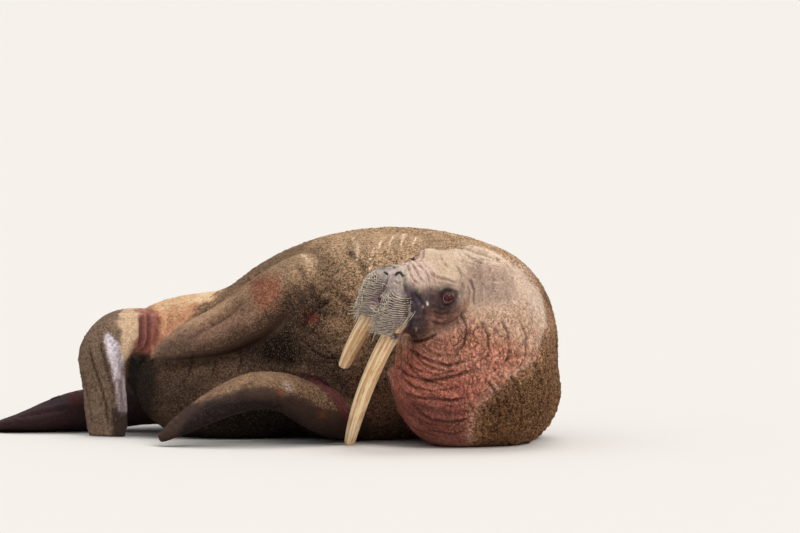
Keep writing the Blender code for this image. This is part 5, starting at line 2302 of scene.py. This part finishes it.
@dataclass
class Face:
    """The whiskers on the two pads and the nails on the flippers."""

    hide: Hide
    chart: SkinMap
    rows: int = 19
    columns: int = 20
    top: float = -0.016
    high: float = 0.170
    outside: float = 0.14

    def whiskers(self, finish: bpy.types.Material) -> bpy.types.Object:
        """The rows of stiff whiskers: short and combed on the pads, longer at their lower and rear edges.

        Args:
            finish: their surface.

        Returns:
            All of them as an object.
        """
        head, tree = self.hide.head, self.hide.tree()
        random = np.random.default_rng(101)
        made = Bristles("whiskers")
        forward, crown = np.array(head.forward), np.array(head.crown)
        for side, row, column in itertools.product(Side, range(self.rows), range(self.columns)):
            outward = np.array(head.right) * side.value
            angle = math.radians(-30 + 7.6 * (column + random.uniform(-0.45, 0.45)))
            start = head.point(0.150, self.top - self.hide.row_pitch * row, 0.052 * side.value)
            way = head.forward * math.cos(angle) + head.right * side.value * math.sin(angle)
            hit, facing, _, _ = tree.ray_cast(start + way * self.outside, -way)
            if hit is not None:
                wave = float(self.hide.row_wave(np.array([hit]))[0])
                miss = wave - self.hide.row_pitch * (row - self.rows - 1)
                start -= head.crown * (miss + random.uniform(-0.0008, 0.0008))
                hit, facing, _, _ = tree.ray_cast(start + way * self.outside, -way)
            if hit is None or (np.array(hit) - np.array(head.origin)) @ forward < 0.126:
                continue
            root, normal = np.array(hit), np.array(facing)
            across, raised = (root - np.array(head.origin)) @ outward, (root - np.array(head.origin)) @ crown
            if raised > -0.014 or raised < -0.195:
                continue
            low, far = np.array((self.top - raised) / self.high), np.array(column / self.columns)
            rear, hem = step(0.72, 0.98, far), step(0.76, 1.0, low)
            comb = np.cross(normal, crown - outward * 10.0 * (across - 0.062))
            comb *= np.sign(comb @ forward) / np.linalg.norm(comb)
            fringe = float(np.clip(forward @ normal, 0, 1)) ** 2
            lean = comb * (1 - rear) * (1.4 - 0.4 * fringe) + normal * (0.17 + 0.50 * fringe + 0.15 * rear)
            lean -= crown * (0.80 * rear + 0.35 * hem)
            lean += random.normal(0, 0.045, 3)
            lean /= np.linalg.norm(lean)
            length = 0.0200 + 0.016 * fringe + 0.016 * rear * (0.4 + low) + 0.020 * hem
            spot = self.hide.view.pixels(root[None])[0]
            if min(math.dist(spot, clear) for clear in CLEAR_SPOTS) < 3.6:
                continue
            length *= random.uniform(0.8, 1.2)
            bend = forward * (0.30 * hem + 0.80 * rear) - crown * (0.10 + 0.55 * rear + 0.25 * fringe)
            bend -= normal * (0.15 + 0.25 * rear)
            made.add(root - normal * 0.0018, lean, bend, length, random.uniform(0.0013, 0.0017))
        return made.build(self.chart, finish, "muzzle_skin")

    def nails(self, finish: bpy.types.Material) -> bpy.types.Object:
        """The small nails near the ends of the flippers.

        Args:
            finish: their surface.

        Returns:
            All of them as an object.
        """
        tree = self.hide.tree()
        made = Bristles("nails", sides=6, segments=4)
        back, down = np.array([-0.85, 0.0, -0.3]), np.array([-0.1, 0.0, -1.0])
        rows = (
            ((166, 346), (7.0, -5.5), back),
            ((176, 410), (8.0, -5.5), back),
            ((88, 418), (7.0, 0.0), down),
            ((12, 411), (7.0, -1.6), back),
        )
        for (first, apart, toward), k in itertools.product(rows, range(5)):
            spot = (first[0] + apart[0] * k, first[1] + apart[1] * k)
            hit, facing, _, _ = tree.ray_cast(self.hide.view.place, self.hide.view.ray(spot))
            if hit is None:
                continue
            root, normal = np.array(hit), np.array(facing)
            way = toward - normal * (toward @ normal) + normal * 0.25
            made.add(root - normal * 0.001, way / np.linalg.norm(way), -normal * 0.3, 0.013, 0.0028)
        return made.build(self.chart, finish, "flipper_skin")


@dataclass
class Studio:
    """A plain pale floor under an even sky that is brightest overhead, with soft lights."""

    floor_tone: tuple[float, float, float] = tone(208, 204, 198)
    floor_reach: float = 150.0
    sky: tuple[float, float, float] = (0.95, 0.97, 1.0)
    sky_low: float = 0.34
    sky_high: float = 0.92
    softness: float = math.radians(34)

    def build(self) -> None:
        """Makes the floor, the sky and the lights."""
        bpy.context.scene.view_settings.view_transform = "Standard"
        square = np.array([[-1, -1, 0], [1, -1, 0], [1, 1, 0], [-1, 1, 0]])
        mesh = mesh_of("floor", self.floor_reach * square, np.array([[0, 1, 2, 3]]))
        finish, _, shader = new_material("pale_floor")
        shader.inputs["Base Color"].default_value = (*self.floor_tone, 1.0)
        shader.inputs["Roughness"].default_value = 0.9
        mesh.materials.append(finish)
        object_of("floor", mesh)
        world = bpy.data.worlds.new("sky")
        world.use_nodes = True
        board = Board(world.node_tree)
        back = world.node_tree.nodes["Background"]
        way = board.add("ShaderNodeSeparateXYZ")
        board.join(board.add("ShaderNodeTexCoord").outputs["Generated"], way.inputs[0])
        back.inputs["Color"].default_value = (*self.sky, 1.0)
        board.join(board.ramp(way.outputs[2], 0.0, 0.9, self.sky_low, self.sky_high), back.inputs["Strength"])
        bpy.context.scene.world = world
        self.light("key", Vector((3.4, -3.0, 4.2)), 2.1, (1.0, 0.97, 0.93))
        self.light("top", Vector((0.6, 1.2, 5.2)), 0.9, (1.0, 0.98, 0.95))

    def light(self, name: str, way: Vector, strength: float, colour: tuple[float, float, float]) -> None:
        """Adds a wide soft light that comes from one direction.

        Args:
            name: its name.
            way: where it comes from.
            strength: how strong it is.
            colour: its colour.
        """
        lamp = bpy.data.lights.new(name, "SUN")
        lamp.angle = self.softness
        lamp.energy = strength
        lamp.color = colour
        made = bpy.data.objects.new(name, lamp)
        made.location = way
        made.rotation_euler = way.to_track_quat("Z", "Y").to_euler()
        bpy.context.scene.collection.objects.link(made)


def main() -> None:
    """Builds the walrus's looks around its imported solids."""
    logging.basicConfig(level=logging.INFO, format="%(name)s: %(message)s")
    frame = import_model()
    head = HeadFrame()
    view = Viewpoint(head.shift)
    view.camera()
    hide = Hide(head, view, frame["nodes"])
    skin = hide.build()
    surface = hide_group()
    skin.data.materials.clear()
    skin.data.materials.append(HideFinish("walrus_hide").material(surface))
    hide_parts(*FLESH)
    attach(skin, "root")
    LOG.info("skin: %d faces", len(skin.data.polygons))
    chart = SkinMap(skin)
    LOG.info("skin map made")
    coat = Coat(hide, chart)
    coat_finish = HideFinish("walrus_coat", grain=0.3, wrinkle=0.0).material(surface)
    for made in (coat.hair(), coat.crumbs()):
        made.data.materials.append(coat_finish)
        LOG.info("%s: %d faces", made.name, len(made.data.polygons))
    ivory = IvoryFinish().material()
    for side, length in ((Side.LEFT, 0.530), (Side.RIGHT, 0.268)):
        LOG.info("%s", Tusk(head, side, length).build(ivory).name)
    wet = EyeFinish().material()
    for side in Side:
        LOG.info("%s", Eye(head, side).build(wet).name)
    face = Face(hide, chart)
    straw = HornFinish("whisker_straw", tone(152, 134, 114), tone(238, 224, 202)).material()
    LOG.info("%s: %d faces", "whiskers", len(face.whiskers(straw).data.polygons))
    horn = HornFinish("nail_horn", tone(60, 46, 40), tone(120, 96, 78)).material()
    LOG.info("%s: %d faces", "nails", len(face.nails(horn).data.polygons))
    Studio().build()


if __name__ == "__main__":
    main()
